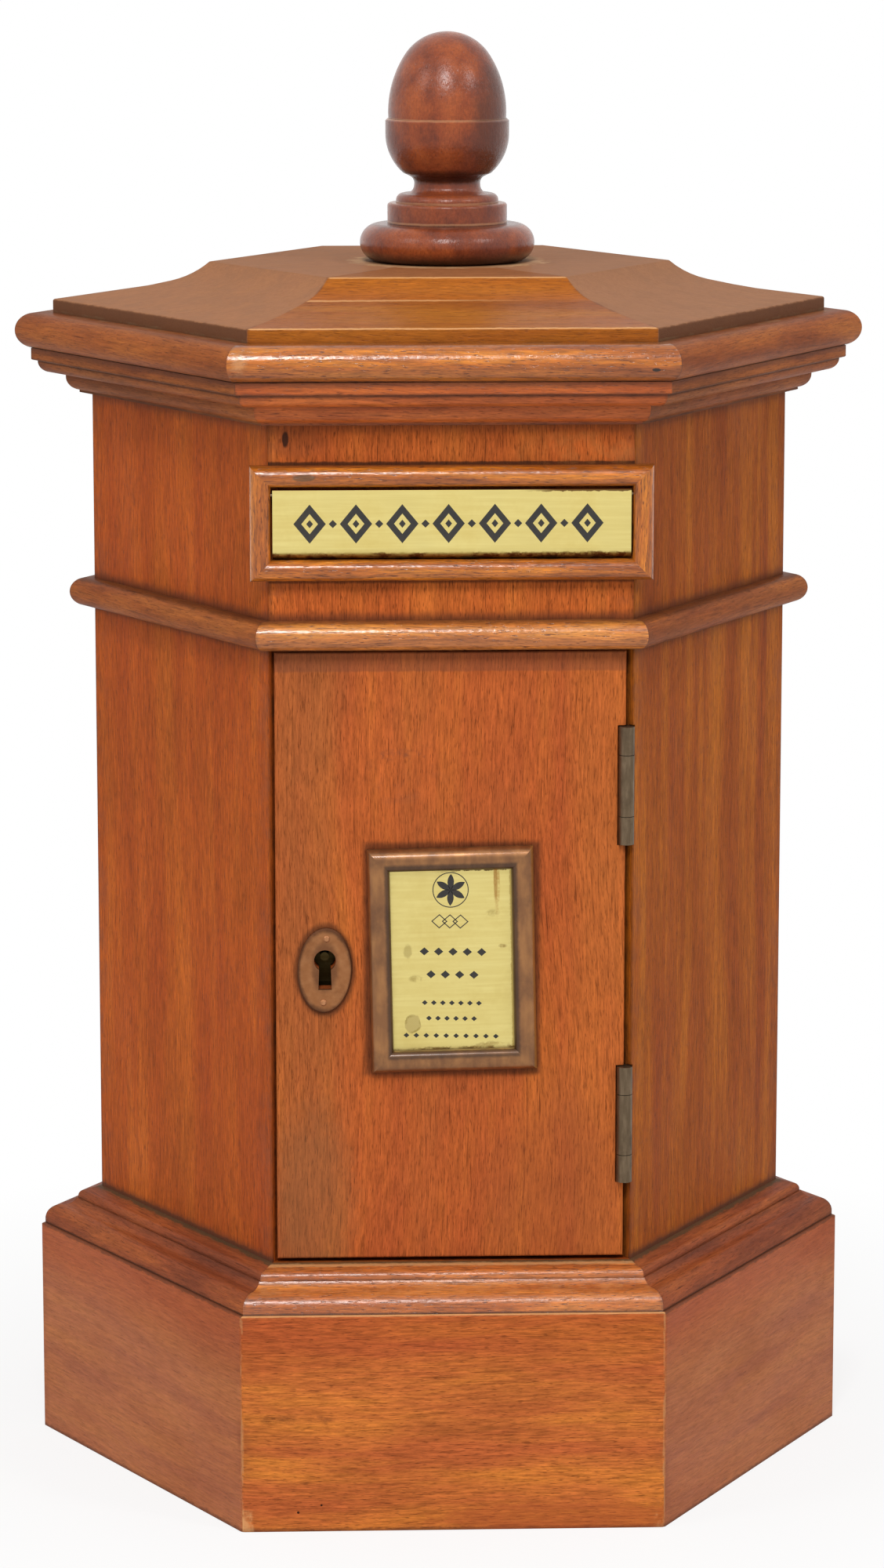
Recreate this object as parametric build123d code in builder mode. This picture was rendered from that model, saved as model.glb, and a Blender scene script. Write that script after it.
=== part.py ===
from build123d import *
import math
import os

# Desk letter box: a hexagonal mahogany case on a plinth, with a hinged and locked door in its front,
# a letter slot behind a lifting flap, and a low hollow-faced roof with a turned acorn.
# Millimetres. The origin is the middle of the underside, +Z is up, the front faces -Y.

# Case
case_side = 116.0  # outside length of each of the six sides
board_thickness = 12.0
case_foot = 36.0  # height at which the case boards end, inside the plinth
case_corner_round = 1.5
floor_thickness = 12.0

# Plinth and the moulding on it
plinth_thickness = 18.0
plinth_height = 72.0
plinth_edge_round = 1.0
plinth_corner_round = 2.0
base_height = 13.0
base_shoulder = 1.3  # how much of the plinth's top shows in front of the moulding
base_lip = 1.5
base_ovolo = 4.9
base_cove_sag = 0.8
base_cove_step = 0.5  # from the top of the cove in to the roll
base_roll_reach = 6.9  # how far the roll above the cove stands out from the case
base_roll = 2.2
base_roll_lip = 0.6
base_weather = 1.5  # the slope on top

# Half-round belt under the letter flap
belt_height = 9.4
belt_reach = 7.1

# Crown moulding: two ovolos under a fascia
crown_height = 14.8
crown_reach = 17.3
crown_fascia = 4.0
crown_upper_reach = 15.4
crown_step_reach = 11.2
crown_step_height = 6.7
crown_lower_reach = 7.4
crown_foot_reach = 3.5
crown_ovolo_sag = 1.1
crown_quirk = 0.8
crown_lower_fillet = 1.6
crown_edge_round = 0.5

# Bullnose bead round the top board
bead_reach = 21.9
bead_height = 11.7
bead_width = 12.7

# Roof block
roof_reach = 10.8  # how far its edge stands out from the case
roof_edge_height = 4.5
roof_height = 16.8
roof_slope_width = 34.0  # from the edge in to the hollow under the flat
roof_cove_width = 11.1
roof_cove_drop = 6.3
roof_cove_sag = 0.85
roof_edge_round = 0.8

# Finial: an acorn on a collar and a torus
finial_shift = 2.5  # it was set a little to the right of the middle
finial_torus_radius = 29.0
finial_torus_height = 12.5
finial_collar_radius = 19.85
finial_collar_height = 6.8
finial_collar_round = 1.0
finial_ledge_radius = 17.0
finial_ledge_height = 1.0
finial_shoulder_radius = 14.4
finial_shoulder_height = 2.1
finial_shoulder_sag = 0.7
finial_neck_radius = 11.0
finial_neck_rise = 2.8
finial_neck_sag = 1.1
finial_lip_foot_radius = 12.4
finial_lip_foot_rise = 2.9
finial_lip_radius = 14.6
finial_lip_rise = 1.0
finial_cup_radius = 20.5
finial_cup_height = 13.0
finial_cup_rim = 4.9
finial_rim_round = 0.7
finial_nut_radius = 19.5
finial_nut_height = 28.5
finial_crown_radius = 16.7  # of the round top of the nut
finial_crown_turn = 57.0  # how far round the top goes, before the sides
finial_spigot_radius = 6.0
finial_spigot_length = 12.0

# Letter slot, flap and its frame
slot_width = 96.0
slot_height = 15.0
slot_drop = 0.6  # its middle below the middle of the frame
flap_frame_overhang = 5.8  # past the corners of the front
flap_frame_height = 36.6
flap_frame_rise = 12.9  # from the belt up to the frame
frieze_height = 12.8  # from the frame up to the crown moulding
flap_strip_width = 6.8
flap_strip_base = 2.6
flap_thickness = 3.6
flap_side_gap = 0.4
flap_top_gap = 0.8
flap_bottom_gap = 0.6
flap_back_gap = 0.3
flap_edge_radius = 3.0
flap_back_round = 1.2
flap_plate_thickness = 0.4
flap_pivot_depth = 1.3  # pivot axis behind the front of the brass
flap_pivot_drop = 1.6  # pivot axis below the top of the flap
flap_pin_radius = 0.6
flap_pin_length = 9.0
flap_pin_in_frame = 4.0

# Door
door_height = 198.7
door_bottom_gap = 1.2
door_top_gap = 0.7
door_lock_gap = 0.9  # square across the mitred joint
door_hinge_gap = 1.5
door_edge_round = 0.8
panel_gap = 1.1  # between the door and the panel above it, behind the belt

# Butt hinges, 38 mm long
lower_hinge_rise = 44.0  # from the bottom of the door to the middle of the hinge
upper_hinge_fall = 43.6  # from the top of the door to the middle of the hinge
knuckle_radius = 2.5
knuckle_end = 9.0
knuckle_middle = 19.7
knuckle_gap = 0.2
knuckle_clearance = 0.4  # round the barrel, in the wood and in the other leaf
hinge_inset = 0.8  # barrel axis inside the corner of the case, along the mitre
hinge_offset = 2.0  # barrel axis from the mitre, towards the door
hinge_pin_radius = 1.1
leaf_width = 11.4
leaf_thickness = 1.1
leaf_hole_reach = 7.2
leaf_hole_spread = 13.0

# Screws, the same for hinges and lock
screw_head_radius = 2.3
screw_radius = 1.2
screw_length = 7.5
screw_slot_width = 0.6
screw_slot_depth = 0.4

# Keyhole and escutcheon
keyhole_inset = 17.4  # from the corner of the case
keyhole_low = 0.55  # below the middle of the door
keyhole_radius = 3.5
keyhole_slot_top = 3.6
keyhole_slot_bottom = 4.3
keyhole_drop = 9.5
escutcheon_width = 17.5
escutcheon_height = 27.8
escutcheon_thickness = 1.2
escutcheon_drop = 3.3  # its middle below the middle of the round part of the keyhole
escutcheon_edge = 0.5
escutcheon_tilt = -3.0
pin_spacing = 20.9
pin_head_radius = 1.05
pin_head_height = 0.6
pin_radius = 0.5
pin_head_edge = 0.4
pin_cover = 1.2  # wood left behind the points of the pins

# Plaque
plaque_width = 53.3
plaque_height = 73.0
plaque_x = 0.2
plaque_low = 0.45  # below the middle of the door
plaque_tilt = 1.2
plaque_band = 7.2
plaque_depth = 4.2
plaque_outer_round = 3.2
plaque_inner_round = 2.4
plaque_rebate = 1.2
plaque_plate_thickness = 0.8

# Lock
lock_edge = 7.4  # from the middle of the keyhole to the case's end
lock_width = 28.0
lock_height = 30.0
lock_depth = 6.4
lock_wall = 1.2
lock_plate_thickness = 1.2
lock_plate_width = 35.0
lock_plate_height = 42.0
lock_plate_lip = 1.0
lock_post_radius = 1.4
lock_chamber_radius = 6.2
lock_screw_inset = 3.2
bolt_thickness = 3.4
bolt_height = 8.0
bolt_length = 26.0
bolt_rise = 9.4  # bolt's middle above the keyhole's middle
bolt_depth = 1.9  # from the case's front to the bolt
bolt_rest = 3.0  # how far the bolt stands out of the case when it is drawn back
bolt_throw = 6.5
bolt_clearance = 0.3

# Fits
seat = 0.05  # glue and easy fits
pin_play = 0.08  # pins that turn

root3 = math.sqrt(3)


def apothem(side):
    # middle of a side from the axis
    return side * root3 / 2


def mid_side(distance):
    # length of the side whose middle is this far out
    return distance * 2 / root3


# Distances from the axis to the middle of a side

case_face = apothem(case_side)
inner_face = case_face - board_thickness
plinth_face = case_face + plinth_thickness
bead_face = case_face + bead_reach
bead_inner = bead_face - bead_width
roof_edge = case_face + roof_reach
roof_flat = roof_edge - roof_slope_width - roof_cove_width

# Heights, from the plinth up to the top of the roof

sill = plinth_height + base_height
door_bottom = sill + door_bottom_gap
door_top = door_bottom + door_height
door_middle = (door_bottom + door_top) / 2
panel_bottom = door_top + panel_gap
belt_low = door_top + door_top_gap
belt_high = belt_low + belt_height
frame_bottom = belt_high + flap_frame_rise
frame_top = frame_bottom + flap_frame_height
frame_middle = (frame_bottom + frame_top) / 2
slot_middle = frame_middle - slot_drop
crown_bottom = frame_top + frieze_height
case_top = crown_bottom + crown_height
bead_top = case_top + bead_height
roof_top = bead_top + roof_height

keyhole_x = -case_side / 2 + keyhole_inset
keyhole_height = door_middle - keyhole_low
plaque_middle = door_middle - plaque_low
flap_frame_width = case_side + 2 * flap_frame_overhang
hinge_heights = {"lower": door_bottom + lower_hinge_rise, "upper": door_top - upper_hinge_fall}

# The sides, anticlockwise from the front, and the outward direction of each in degrees
side_names = ["front", "front_right", "rear_right", "back", "rear_left", "front_left"]
side_turn = 360 / len(side_names)
sides = {name: step * side_turn - 90 for step, name in enumerate(side_names)}


def direction(angle):
    return Vector(math.cos(math.radians(angle)), math.sin(math.radians(angle)), 0)


def section_plane(angle):
    # upright plane square to a side: x is the distance from the axis, y is the height
    out = direction(angle)
    return Plane(origin=(0, 0, 0), x_dir=out, z_dir=out.cross(Vector(0, 0, 1)))


def mitre_plane(angle):
    # upright plane through the axis and a corner
    return Plane(origin=(0, 0, 0), x_dir=direction(angle), z_dir=direction(angle + 90))


def save(piece, label):
    piece.part.label = label
    export_step(piece.part, f"parts/{label}.step")


def mitred_length(section, angle):
    # one of six lengths: the section run along its side, then mitred at both corners
    with BuildPart() as length:
        with BuildSketch(section_plane(angle)):
            add(section.sketch)
        extrude(amount=case_side, both=True)
        split(bisect_by=mitre_plane(angle - side_turn / 2), keep=Keep.TOP)
        split(bisect_by=mitre_plane(angle + side_turn / 2), keep=Keep.BOTTOM)
    return length


def rounded_prism(face, corner_round):
    # six-sided block with its upright corners worn round
    with BuildPart() as prism:
        with BuildSketch() as outline:
            RegularPolygon(radius=mid_side(face), side_count=len(side_names))
            fillet(outline.vertices(), radius=corner_round)
        extrude(amount=case_top)
    return prism


def upright_section(inner, outer, bottom, top):
    with BuildSketch() as section:
        with Locations(((inner + outer) / 2, (bottom + top) / 2)):
            Rectangle(outer - inner, top - bottom)
    return section


os.makedirs("parts", exist_ok=True)

# Sections of the six-sided mouldings: x from the axis, y is the height

with BuildSketch() as base_section:
    with BuildLine():
        foot_x = plinth_face - base_shoulder
        ovolo_x = foot_x - base_ovolo
        ovolo_z = plinth_height + base_lip
        roll_x = case_face + base_roll_reach
        roll_top = sill - base_weather
        roll_z = roll_top - base_roll
        cove_top = roll_z - base_roll_lip
        Polyline(
            (roll_x - base_roll, roll_top),
            (case_face, sill),
            (case_face, plinth_height),
            (foot_x, plinth_height),
            (foot_x, ovolo_z),
        )
        CenterArc((ovolo_x, ovolo_z), base_ovolo, 0, 90)
        SagittaArc((ovolo_x, ovolo_z + base_ovolo), (roll_x + base_cove_step, cove_top), base_cove_sag)
        Polyline(
            (roll_x + base_cove_step, cove_top),
            (roll_x, cove_top),
            (roll_x, roll_z),
        )
        CenterArc((roll_x - base_roll, roll_z), base_roll, 0, 90)
    make_face()

with BuildSketch() as belt_section:
    with BuildLine():
        belt_nose = case_face + belt_reach - belt_height / 2
        CenterArc((belt_nose, (belt_low + belt_high) / 2), belt_height / 2, -90, 180)
        Polyline(
            (belt_nose, belt_high),
            (case_face, belt_high),
            (case_face, belt_low),
            (belt_nose, belt_low),
        )
    make_face()

with BuildSketch() as crown_section:
    with BuildLine():
        fascia_x = case_face + crown_reach
        upper_x = case_face + crown_upper_reach
        step_x = case_face + crown_step_reach
        lower_x = case_face + crown_lower_reach
        crown_foot_x = case_face + crown_foot_reach
        fascia_z = case_top - crown_fascia
        step_z = crown_bottom + crown_step_height
        Polyline(
            (crown_foot_x, crown_bottom + crown_quirk),
            (crown_foot_x, crown_bottom),
            (case_face, crown_bottom),
            (case_face, case_top),
            (fascia_x, case_top),
            (fascia_x, fascia_z),
            (upper_x, fascia_z),
            (upper_x, fascia_z - crown_quirk),
        )
        SagittaArc((upper_x, fascia_z - crown_quirk), (step_x, step_z), crown_ovolo_sag)
        Polyline(
            (step_x, step_z),
            (lower_x, step_z),
            (lower_x, step_z - crown_lower_fillet),
        )
        SagittaArc(
            (lower_x, step_z - crown_lower_fillet),
            (crown_foot_x, crown_bottom + crown_quirk),
            crown_ovolo_sag,
        )
    make_face()
    fascia_edge = crown_section.vertices().group_by(Axis.X)[-1].sort_by(Axis.Y)[0]
    fillet(fascia_edge, radius=crown_edge_round)

with BuildSketch() as bead_section:
    with BuildLine():
        nose_x = bead_face - bead_height / 2
        nose_z = case_top + bead_height / 2
        CenterArc((nose_x, nose_z), bead_height / 2, -90, 180)
        Polyline(
            (nose_x, bead_top),
            (bead_inner, bead_top),
            (bead_inner, case_top),
            (nose_x, case_top),
        )
    make_face()

with BuildSketch() as plinth_section:
    add(upright_section(case_face, plinth_face, 0, plinth_height).sketch)
    plinth_edge = plinth_section.vertices().group_by(Axis.Y)[-1].sort_by(Axis.X)[-1]
    fillet(plinth_edge, radius=plinth_edge_round)

board_section = upright_section(inner_face, case_face, case_foot, case_top)

# Six mitred lengths of each

for place, angle in sides.items():
    with BuildPart() as plinth_board:
        add(mitred_length(plinth_section, angle).part)
        add(rounded_prism(plinth_face, plinth_corner_round).part, mode=Mode.INTERSECT)
    save(plinth_board, f"plinth_{place}")
    save(mitred_length(base_section, angle), f"base_moulding_{place}")
    save(mitred_length(belt_section, angle), f"belt_moulding_{place}")
    save(mitred_length(crown_section, angle), f"crown_moulding_{place}")
    save(mitred_length(bead_section, angle), f"bead_moulding_{place}")

# Planes of the front, and of the hinge: its barrel lies at the right-hand corner

hinge_corner = sides["front"] + side_turn / 2
lock_corner = sides["front"] - side_turn / 2
along_mitre = direction(hinge_corner)
across_mitre = direction(hinge_corner + 90)
hinge_axis = along_mitre * (case_side - hinge_inset) - across_mitre * hinge_offset
hinge_length = 2 * knuckle_end + knuckle_middle + 2 * knuckle_gap


def on_front(x, height, tilt=0.0):
    # plane on the front face, turned in that face
    lean = math.radians(tilt)
    return Plane(
        origin=(x, -case_face, height),
        x_dir=(math.cos(lean), 0, math.sin(lean)),
        z_dir=(0, -1, 0),
    )


def leaf_plane(leaf, height):
    # x runs from the barrel's axis into the joint, z faces the gap, the origin is on the leaf's face
    if leaf == "door":
        return Plane(
            origin=hinge_axis + across_mitre * (hinge_offset - door_hinge_gap) + Vector(0, 0, height),
            x_dir=-along_mitre,
            z_dir=across_mitre,
        )
    return Plane(
        origin=hinge_axis + across_mitre * (knuckle_radius - leaf_thickness) + Vector(0, 0, height),
        x_dir=-along_mitre,
        z_dir=-across_mitre,
    )


def barrel_plane(height):
    return Plane(origin=hinge_axis + Vector(0, 0, height), x_dir=along_mitre, z_dir=(0, 0, 1))


leaf_holes = [(leaf_hole_reach, -leaf_hole_spread), (leaf_hole_reach, leaf_hole_spread)]


def cut_hinge_seat(leaf):
    # the mortise for a leaf, the hollow for the barrel and the pilot holes of its screws
    for height in hinge_heights.values():
        plane = leaf_plane(leaf, height)
        with BuildSketch(plane) as mortise:
            with Locations(((leaf_width + seat) / 2, 0)):
                Rectangle(leaf_width + seat, hinge_length + 2 * seat)
        with BuildSketch(barrel_plane(height - hinge_length / 2 - knuckle_clearance)) as barrel:
            Circle(knuckle_radius + knuckle_clearance)
        with BuildSketch(plane) as pilots:
            with Locations(*leaf_holes):
                Circle(screw_radius + seat)
        extrude(mortise.sketch, amount=-leaf_thickness, mode=Mode.SUBTRACT)
        extrude(mortise.sketch, amount=door_hinge_gap, mode=Mode.SUBTRACT)
        extrude(barrel.sketch, amount=hinge_length + 2 * knuckle_clearance, mode=Mode.SUBTRACT)
        extrude(pilots.sketch, amount=-screw_length - seat, mode=Mode.SUBTRACT)


# Lock places, measured from the middle of the keyhole

lock_left = keyhole_x - lock_edge
lock_right = lock_left + lock_width
lock_front = -inner_face - lock_depth  # y of the case's front
bolt_z = keyhole_height + bolt_rise
bolt_y = lock_front + bolt_depth + bolt_thickness / 2
bolt_tip = lock_left - bolt_rest
lock_plate_left = lock_left - lock_plate_lip
lock_back = -inner_face + lock_plate_thickness
lock_plane = Plane(origin=(0, lock_back, 0), x_dir=(1, 0, 0), z_dir=(0, 1, 0))
lock_middle = (lock_plate_left + lock_plate_width / 2, keyhole_height)
lock_hole_reach = lock_plate_width / 2 - lock_screw_inset
lock_hole_rise = lock_plate_height / 2 - lock_screw_inset
lock_holes = [
    (lock_middle[0] + side * lock_hole_reach, lock_middle[1] + end * lock_hole_rise)
    for side in (-1, 1)
    for end in (-1, 1)
]
pin_length = board_thickness - lock_depth - pin_cover

with BuildSketch() as keyhole:
    Circle(keyhole_radius)
    with BuildLine():
        Polyline(
            (-keyhole_slot_top / 2, 0),
            (-keyhole_slot_bottom / 2, -keyhole_drop),
            (keyhole_slot_bottom / 2, -keyhole_drop),
            (keyhole_slot_top / 2, 0),
            close=True,
        )
    make_face()

# Case boards


def case_board(section, angle):
    with BuildPart() as board:
        add(mitred_length(section, angle).part)
        add(rounded_prism(case_face, case_corner_round).part, mode=Mode.INTERSECT)
    return board


for name, place in {
    "side_rear_left": "rear_left",
    "back_panel": "back",
    "side_rear_right": "rear_right",
}.items():
    save(case_board(board_section, sides[place]), name)

with BuildPart() as side_front_right:
    add(case_board(board_section, sides["front_right"]).part)
    cut_hinge_seat("frame")
save(side_front_right, "side_front_right")

with BuildPart() as side_front_left:
    add(case_board(board_section, sides["front_left"]).part)
    # the mortise that takes the lock's bolt
    with BuildSketch(Plane.YZ.offset(bolt_tip - bolt_throw - 2 * bolt_clearance)):
        with Locations((bolt_y, bolt_z)):
            Rectangle(bolt_thickness + 4 * bolt_clearance, bolt_height + 4 * bolt_clearance)
    extrude(amount=bolt_throw + lock_edge, mode=Mode.SUBTRACT)
save(side_front_left, "side_front_left")

with BuildPart() as front_panel:
    panel_section = upright_section(inner_face, case_face, panel_bottom, case_top)
    add(case_board(panel_section, sides["front"]).part)
    with BuildSketch(on_front(0, slot_middle)):
        Rectangle(slot_width, slot_height)
    extrude(amount=-board_thickness, mode=Mode.SUBTRACT)
save(front_panel, "front_panel")

with BuildPart() as bottom_board:
    # fits inside the boards, and comes forward to the face under the door as its sill
    with BuildSketch(Plane.XY.offset(sill - floor_thickness)):
        RegularPolygon(radius=mid_side(inner_face), side_count=len(side_names))
        Polygon(
            (-case_side / 2, -case_face),
            (case_side / 2, -case_face),
            (mid_side(inner_face) / 2, -inner_face),
            (-mid_side(inner_face) / 2, -inner_face),
            align=None,
        )
    extrude(amount=floor_thickness)
save(bottom_board, "bottom_board")

with BuildPart() as top_board:
    with BuildSketch(Plane.XY.offset(case_top)):
        RegularPolygon(radius=mid_side(bead_inner), side_count=len(side_names))
    extrude(amount=bead_height)
save(top_board, "top_board")

# Roof: one section across the flats, run three ways and kept where all three meet

with BuildSketch() as roof_section:
    with BuildLine():
        edge_top = bead_top + roof_edge_height
        cove_end = (roof_flat + roof_cove_width, roof_top - roof_cove_drop)
        Polyline((0, roof_top), (0, bead_top), (roof_edge, bead_top), (roof_edge, edge_top))
        cove = SagittaArc((roof_flat, roof_top), cove_end, -roof_cove_sag)
        TangentArc(cove @ 1, (roof_edge, edge_top), tangent=cove % 1)
        Line((roof_flat, roof_top), (0, roof_top))
    make_face()
    eaves = roof_section.vertices().sort_by(Axis.X)[-2:].sort_by(Axis.Y)[-1]
    brow = roof_section.vertices().group_by(Axis.Y)[-1].sort_by(Axis.X)[-1]
    fillet([eaves, brow], radius=roof_edge_round)
    mirror(about=Plane.YZ)

with BuildPart() as roof_block:
    for name in side_names[:3]:
        with BuildSketch(section_plane(sides[name])):
            add(roof_section.sketch)
        extrude(
            amount=mid_side(roof_edge),
            both=True,
            mode=Mode.ADD if name == "front" else Mode.INTERSECT,
        )
    with BuildSketch(Plane.XY.offset(roof_top - finial_spigot_length - seat)):
        with Locations((finial_shift, 0)):
            Circle(finial_spigot_radius + seat)
    extrude(amount=finial_spigot_length + seat, mode=Mode.SUBTRACT)
save(roof_block, "roof_block")

with BuildPart() as finial:
    # half of the turned profile: x is the radius
    with BuildSketch(Plane(origin=(finial_shift, 0, roof_top), x_dir=(1, 0, 0), z_dir=(0, -1, 0))):
        with BuildLine():
            torus_middle = finial_torus_height / 2
            torus_x = finial_torus_radius - torus_middle
            collar_top = finial_torus_height + finial_collar_height
            collar_x = finial_collar_radius - finial_collar_round
            ledge_top = collar_top + finial_ledge_height
            shoulder_top = ledge_top + finial_shoulder_height
            neck_z = shoulder_top + finial_neck_rise
            lip_foot = neck_z + finial_lip_foot_rise
            cup_foot = lip_foot + finial_lip_rise
            cup_side = cup_foot + finial_cup_height
            rim = cup_side + finial_cup_rim
            tip = rim + finial_nut_height
            Polyline(
                (torus_x, 0),
                (finial_spigot_radius, 0),
                (finial_spigot_radius, -finial_spigot_length),
                (0, -finial_spigot_length),
                (0, tip),
            )
            CenterArc((torus_x, torus_middle), torus_middle, -90, 180)
            Polyline(
                (torus_x, finial_torus_height),
                (finial_collar_radius, finial_torus_height),
                (finial_collar_radius, collar_top - finial_collar_round),
            )
            CenterArc((collar_x, collar_top - finial_collar_round), finial_collar_round, 0, 90)
            Polyline(
                (collar_x, collar_top),
                (finial_ledge_radius, collar_top),
                (finial_ledge_radius, ledge_top),
            )
            shoulder = (finial_shoulder_radius, shoulder_top)
            neck = (finial_neck_radius, neck_z)
            neck_end = (finial_lip_foot_radius, lip_foot)
            lip = (finial_lip_radius, cup_foot)
            SagittaArc((finial_ledge_radius, ledge_top), shoulder, -finial_shoulder_sag)
            SagittaArc(shoulder, neck, finial_neck_sag)
            SagittaArc(neck, neck_end, finial_neck_sag / 2)
            Line(neck_end, lip)
            TangentArc((finial_cup_radius, cup_side), lip, tangent=(0, -1))
            Polyline(
                (finial_cup_radius, cup_side),
                (finial_cup_radius, rim - finial_rim_round),
                (finial_cup_radius - finial_rim_round, rim),
                (finial_nut_radius, rim),
            )
            crown = CenterArc((0, tip - finial_crown_radius), finial_crown_radius, 90, -finial_crown_turn)
            TangentArc(crown @ 1, (finial_nut_radius, rim), tangent=crown % 1)
        make_face()
    revolve(axis=Axis((finial_shift, 0, 0), (0, 0, 1)))
save(finial, "finial")

# Flap frame: four half-round strips on the front, mitred at the corners

flap_top = frame_top - flap_strip_width - flap_top_gap
flap_bottom = frame_bottom + flap_strip_width + flap_bottom_gap
flap_half = flap_frame_width / 2 - flap_strip_width - flap_side_gap
flap_back = case_face + flap_back_gap
flap_front = flap_back + flap_thickness + seat + flap_plate_thickness
pivot_out = flap_front - flap_pivot_depth
pivot_height = flap_top - flap_pivot_drop


def frame_strip(out, half, half_run):
    # out points from the middle of the frame to the strip; half is from the middle to its outer edge
    ahead = Vector(0, -1, 0)
    run = out.cross(ahead)
    middle = Vector(0, -case_face, frame_middle)
    with BuildPart() as strip:
        with BuildSketch(Plane(origin=middle, x_dir=out, z_dir=run)):
            with BuildLine():
                nose = half - flap_strip_width / 2
                CenterArc((nose, flap_strip_base), flap_strip_width / 2, 0, 180)
                Polyline(
                    (half - flap_strip_width, flap_strip_base),
                    (half - flap_strip_width, 0),
                    (half, 0),
                    (half, flap_strip_base),
                )
            make_face()
        extrude(amount=half_run, both=True)
        for end in (-1, 1):
            corner = middle + out * half + run * (end * half_run)
            split(bisect_by=Plane(origin=corner, x_dir=ahead, z_dir=out - run * end), keep=Keep.TOP)
    return strip


def pivot_circle(x, radius):
    with BuildSketch(Plane.YZ.offset(x)) as circle:
        with Locations((-pivot_out, pivot_height)):
            Circle(radius)
    return circle


for place, out in {"top": Vector(0, 0, 1), "bottom": Vector(0, 0, -1)}.items():
    save(frame_strip(out, flap_frame_height / 2, flap_frame_width / 2), f"flap_frame_{place}")

pin_start = flap_half + flap_side_gap + flap_pin_in_frame - flap_pin_length

for place, side in {"left": -1, "right": 1}.items():
    with BuildPart() as side_strip:
        add(frame_strip(Vector(side, 0, 0), flap_frame_width / 2, flap_frame_height / 2).part)
        hole = pivot_circle(side * pin_start, flap_pin_radius + pin_play)
        extrude(hole.sketch, amount=side * (flap_pin_length + seat), mode=Mode.SUBTRACT)
    save(side_strip, f"flap_frame_{place}")

# Flap: a board with a rounded lower edge, faced in thin brass that turns under that edge

with BuildSketch() as flap_section:
    with Locations((flap_back + flap_thickness / 2, (flap_top + flap_bottom) / 2)):
        Rectangle(flap_thickness, flap_top - flap_bottom)
    lower_front = flap_section.vertices().group_by(Axis.Y)[0].sort_by(Axis.X)[-1]
    fillet(lower_front, radius=flap_edge_radius)
    upper_back = flap_section.vertices().group_by(Axis.Y)[-1].sort_by(Axis.X)[0]
    fillet(upper_back, radius=flap_back_round)

with BuildSketch() as flap_plate_section:
    bend_x = flap_back + flap_thickness - flap_edge_radius
    bend_z = flap_bottom + flap_edge_radius
    skin_inner = flap_edge_radius + seat
    skin_outer = skin_inner + flap_plate_thickness
    with BuildLine():
        Polyline(
            (bend_x, bend_z - skin_inner),
            (bend_x, bend_z - skin_outer),
        )
        CenterArc((bend_x, bend_z), skin_outer, -90, 90)
        Polyline(
            (bend_x + skin_outer, bend_z),
            (bend_x + skin_outer, flap_top),
            (bend_x + skin_inner, flap_top),
            (bend_x + skin_inner, bend_z),
        )
        CenterArc((bend_x, bend_z), skin_inner, 0, -90)
    make_face()

with BuildPart() as flap_board:
    with BuildSketch(section_plane(sides["front"])):
        add(flap_section.sketch)
    extrude(amount=flap_half, both=True)
    for side in (-1, 1):
        hole = pivot_circle(side * pin_start, flap_pin_radius + seat)
        extrude(hole.sketch, amount=side * flap_pin_length, mode=Mode.SUBTRACT)
save(flap_board, "flap_board")

with BuildPart() as flap_plate:
    with BuildSketch(section_plane(sides["front"])):
        add(flap_plate_section.sketch)
    extrude(amount=flap_half, both=True)
save(flap_plate, "flap_plate")

with BuildPart() as flap_pins:
    for side in (-1, 1):
        extrude(pivot_circle(side * pin_start, flap_pin_radius).sketch, amount=side * flap_pin_length)
save(flap_pins, "flap_pins")

# Door

with BuildPart() as door_panel:
    with BuildSketch(section_plane(sides["front"])):
        add(upright_section(inner_face, case_face, door_bottom, door_top).sketch)
    extrude(amount=case_side, both=True)
    split(bisect_by=mitre_plane(hinge_corner).offset(-door_hinge_gap), keep=Keep.BOTTOM)
    split(bisect_by=mitre_plane(lock_corner).offset(door_lock_gap), keep=Keep.TOP)
    door_edges = door_panel.faces().sort_by(Axis.Y)[0].edges()
    fillet(door_edges, radius=door_edge_round)
    cut_hinge_seat("door")
    # keyhole
    with BuildSketch(on_front(keyhole_x, keyhole_height)):
        add(keyhole.sketch)
    extrude(amount=-board_thickness, mode=Mode.SUBTRACT)
    # recess for the lock's case, and the way of its bolt through the edge
    with BuildSketch(Plane.XZ.offset(inner_face)):
        with Locations((lock_left + lock_width / 2, keyhole_height)):
            Rectangle(lock_width + 2 * seat, lock_height + 2 * seat)
    extrude(amount=lock_depth + seat, mode=Mode.SUBTRACT)
    with BuildSketch(Plane.YZ.offset(lock_left)):
        with Locations((bolt_y, bolt_z)):
            Rectangle(bolt_thickness + 2 * bolt_clearance, bolt_height + 2 * bolt_clearance)
    extrude(amount=-lock_edge - board_thickness, mode=Mode.SUBTRACT)
    # pilot holes of the lock's and the escutcheon's fixings
    with BuildSketch(Plane.XZ.offset(inner_face)):
        with Locations(*lock_holes):
            Circle(screw_radius + seat)
    extrude(amount=screw_length + seat - lock_plate_thickness, mode=Mode.SUBTRACT)
    with BuildSketch(on_front(keyhole_x, keyhole_height - escutcheon_drop, escutcheon_tilt)):
        with GridLocations(0, pin_spacing, 1, 2):
            Circle(pin_radius + seat)
    extrude(amount=-pin_length, mode=Mode.SUBTRACT)
save(door_panel, "door_panel")

# Hinges: the frame leaf carries the two end knuckles and the pin, the door leaf the middle one


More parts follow.
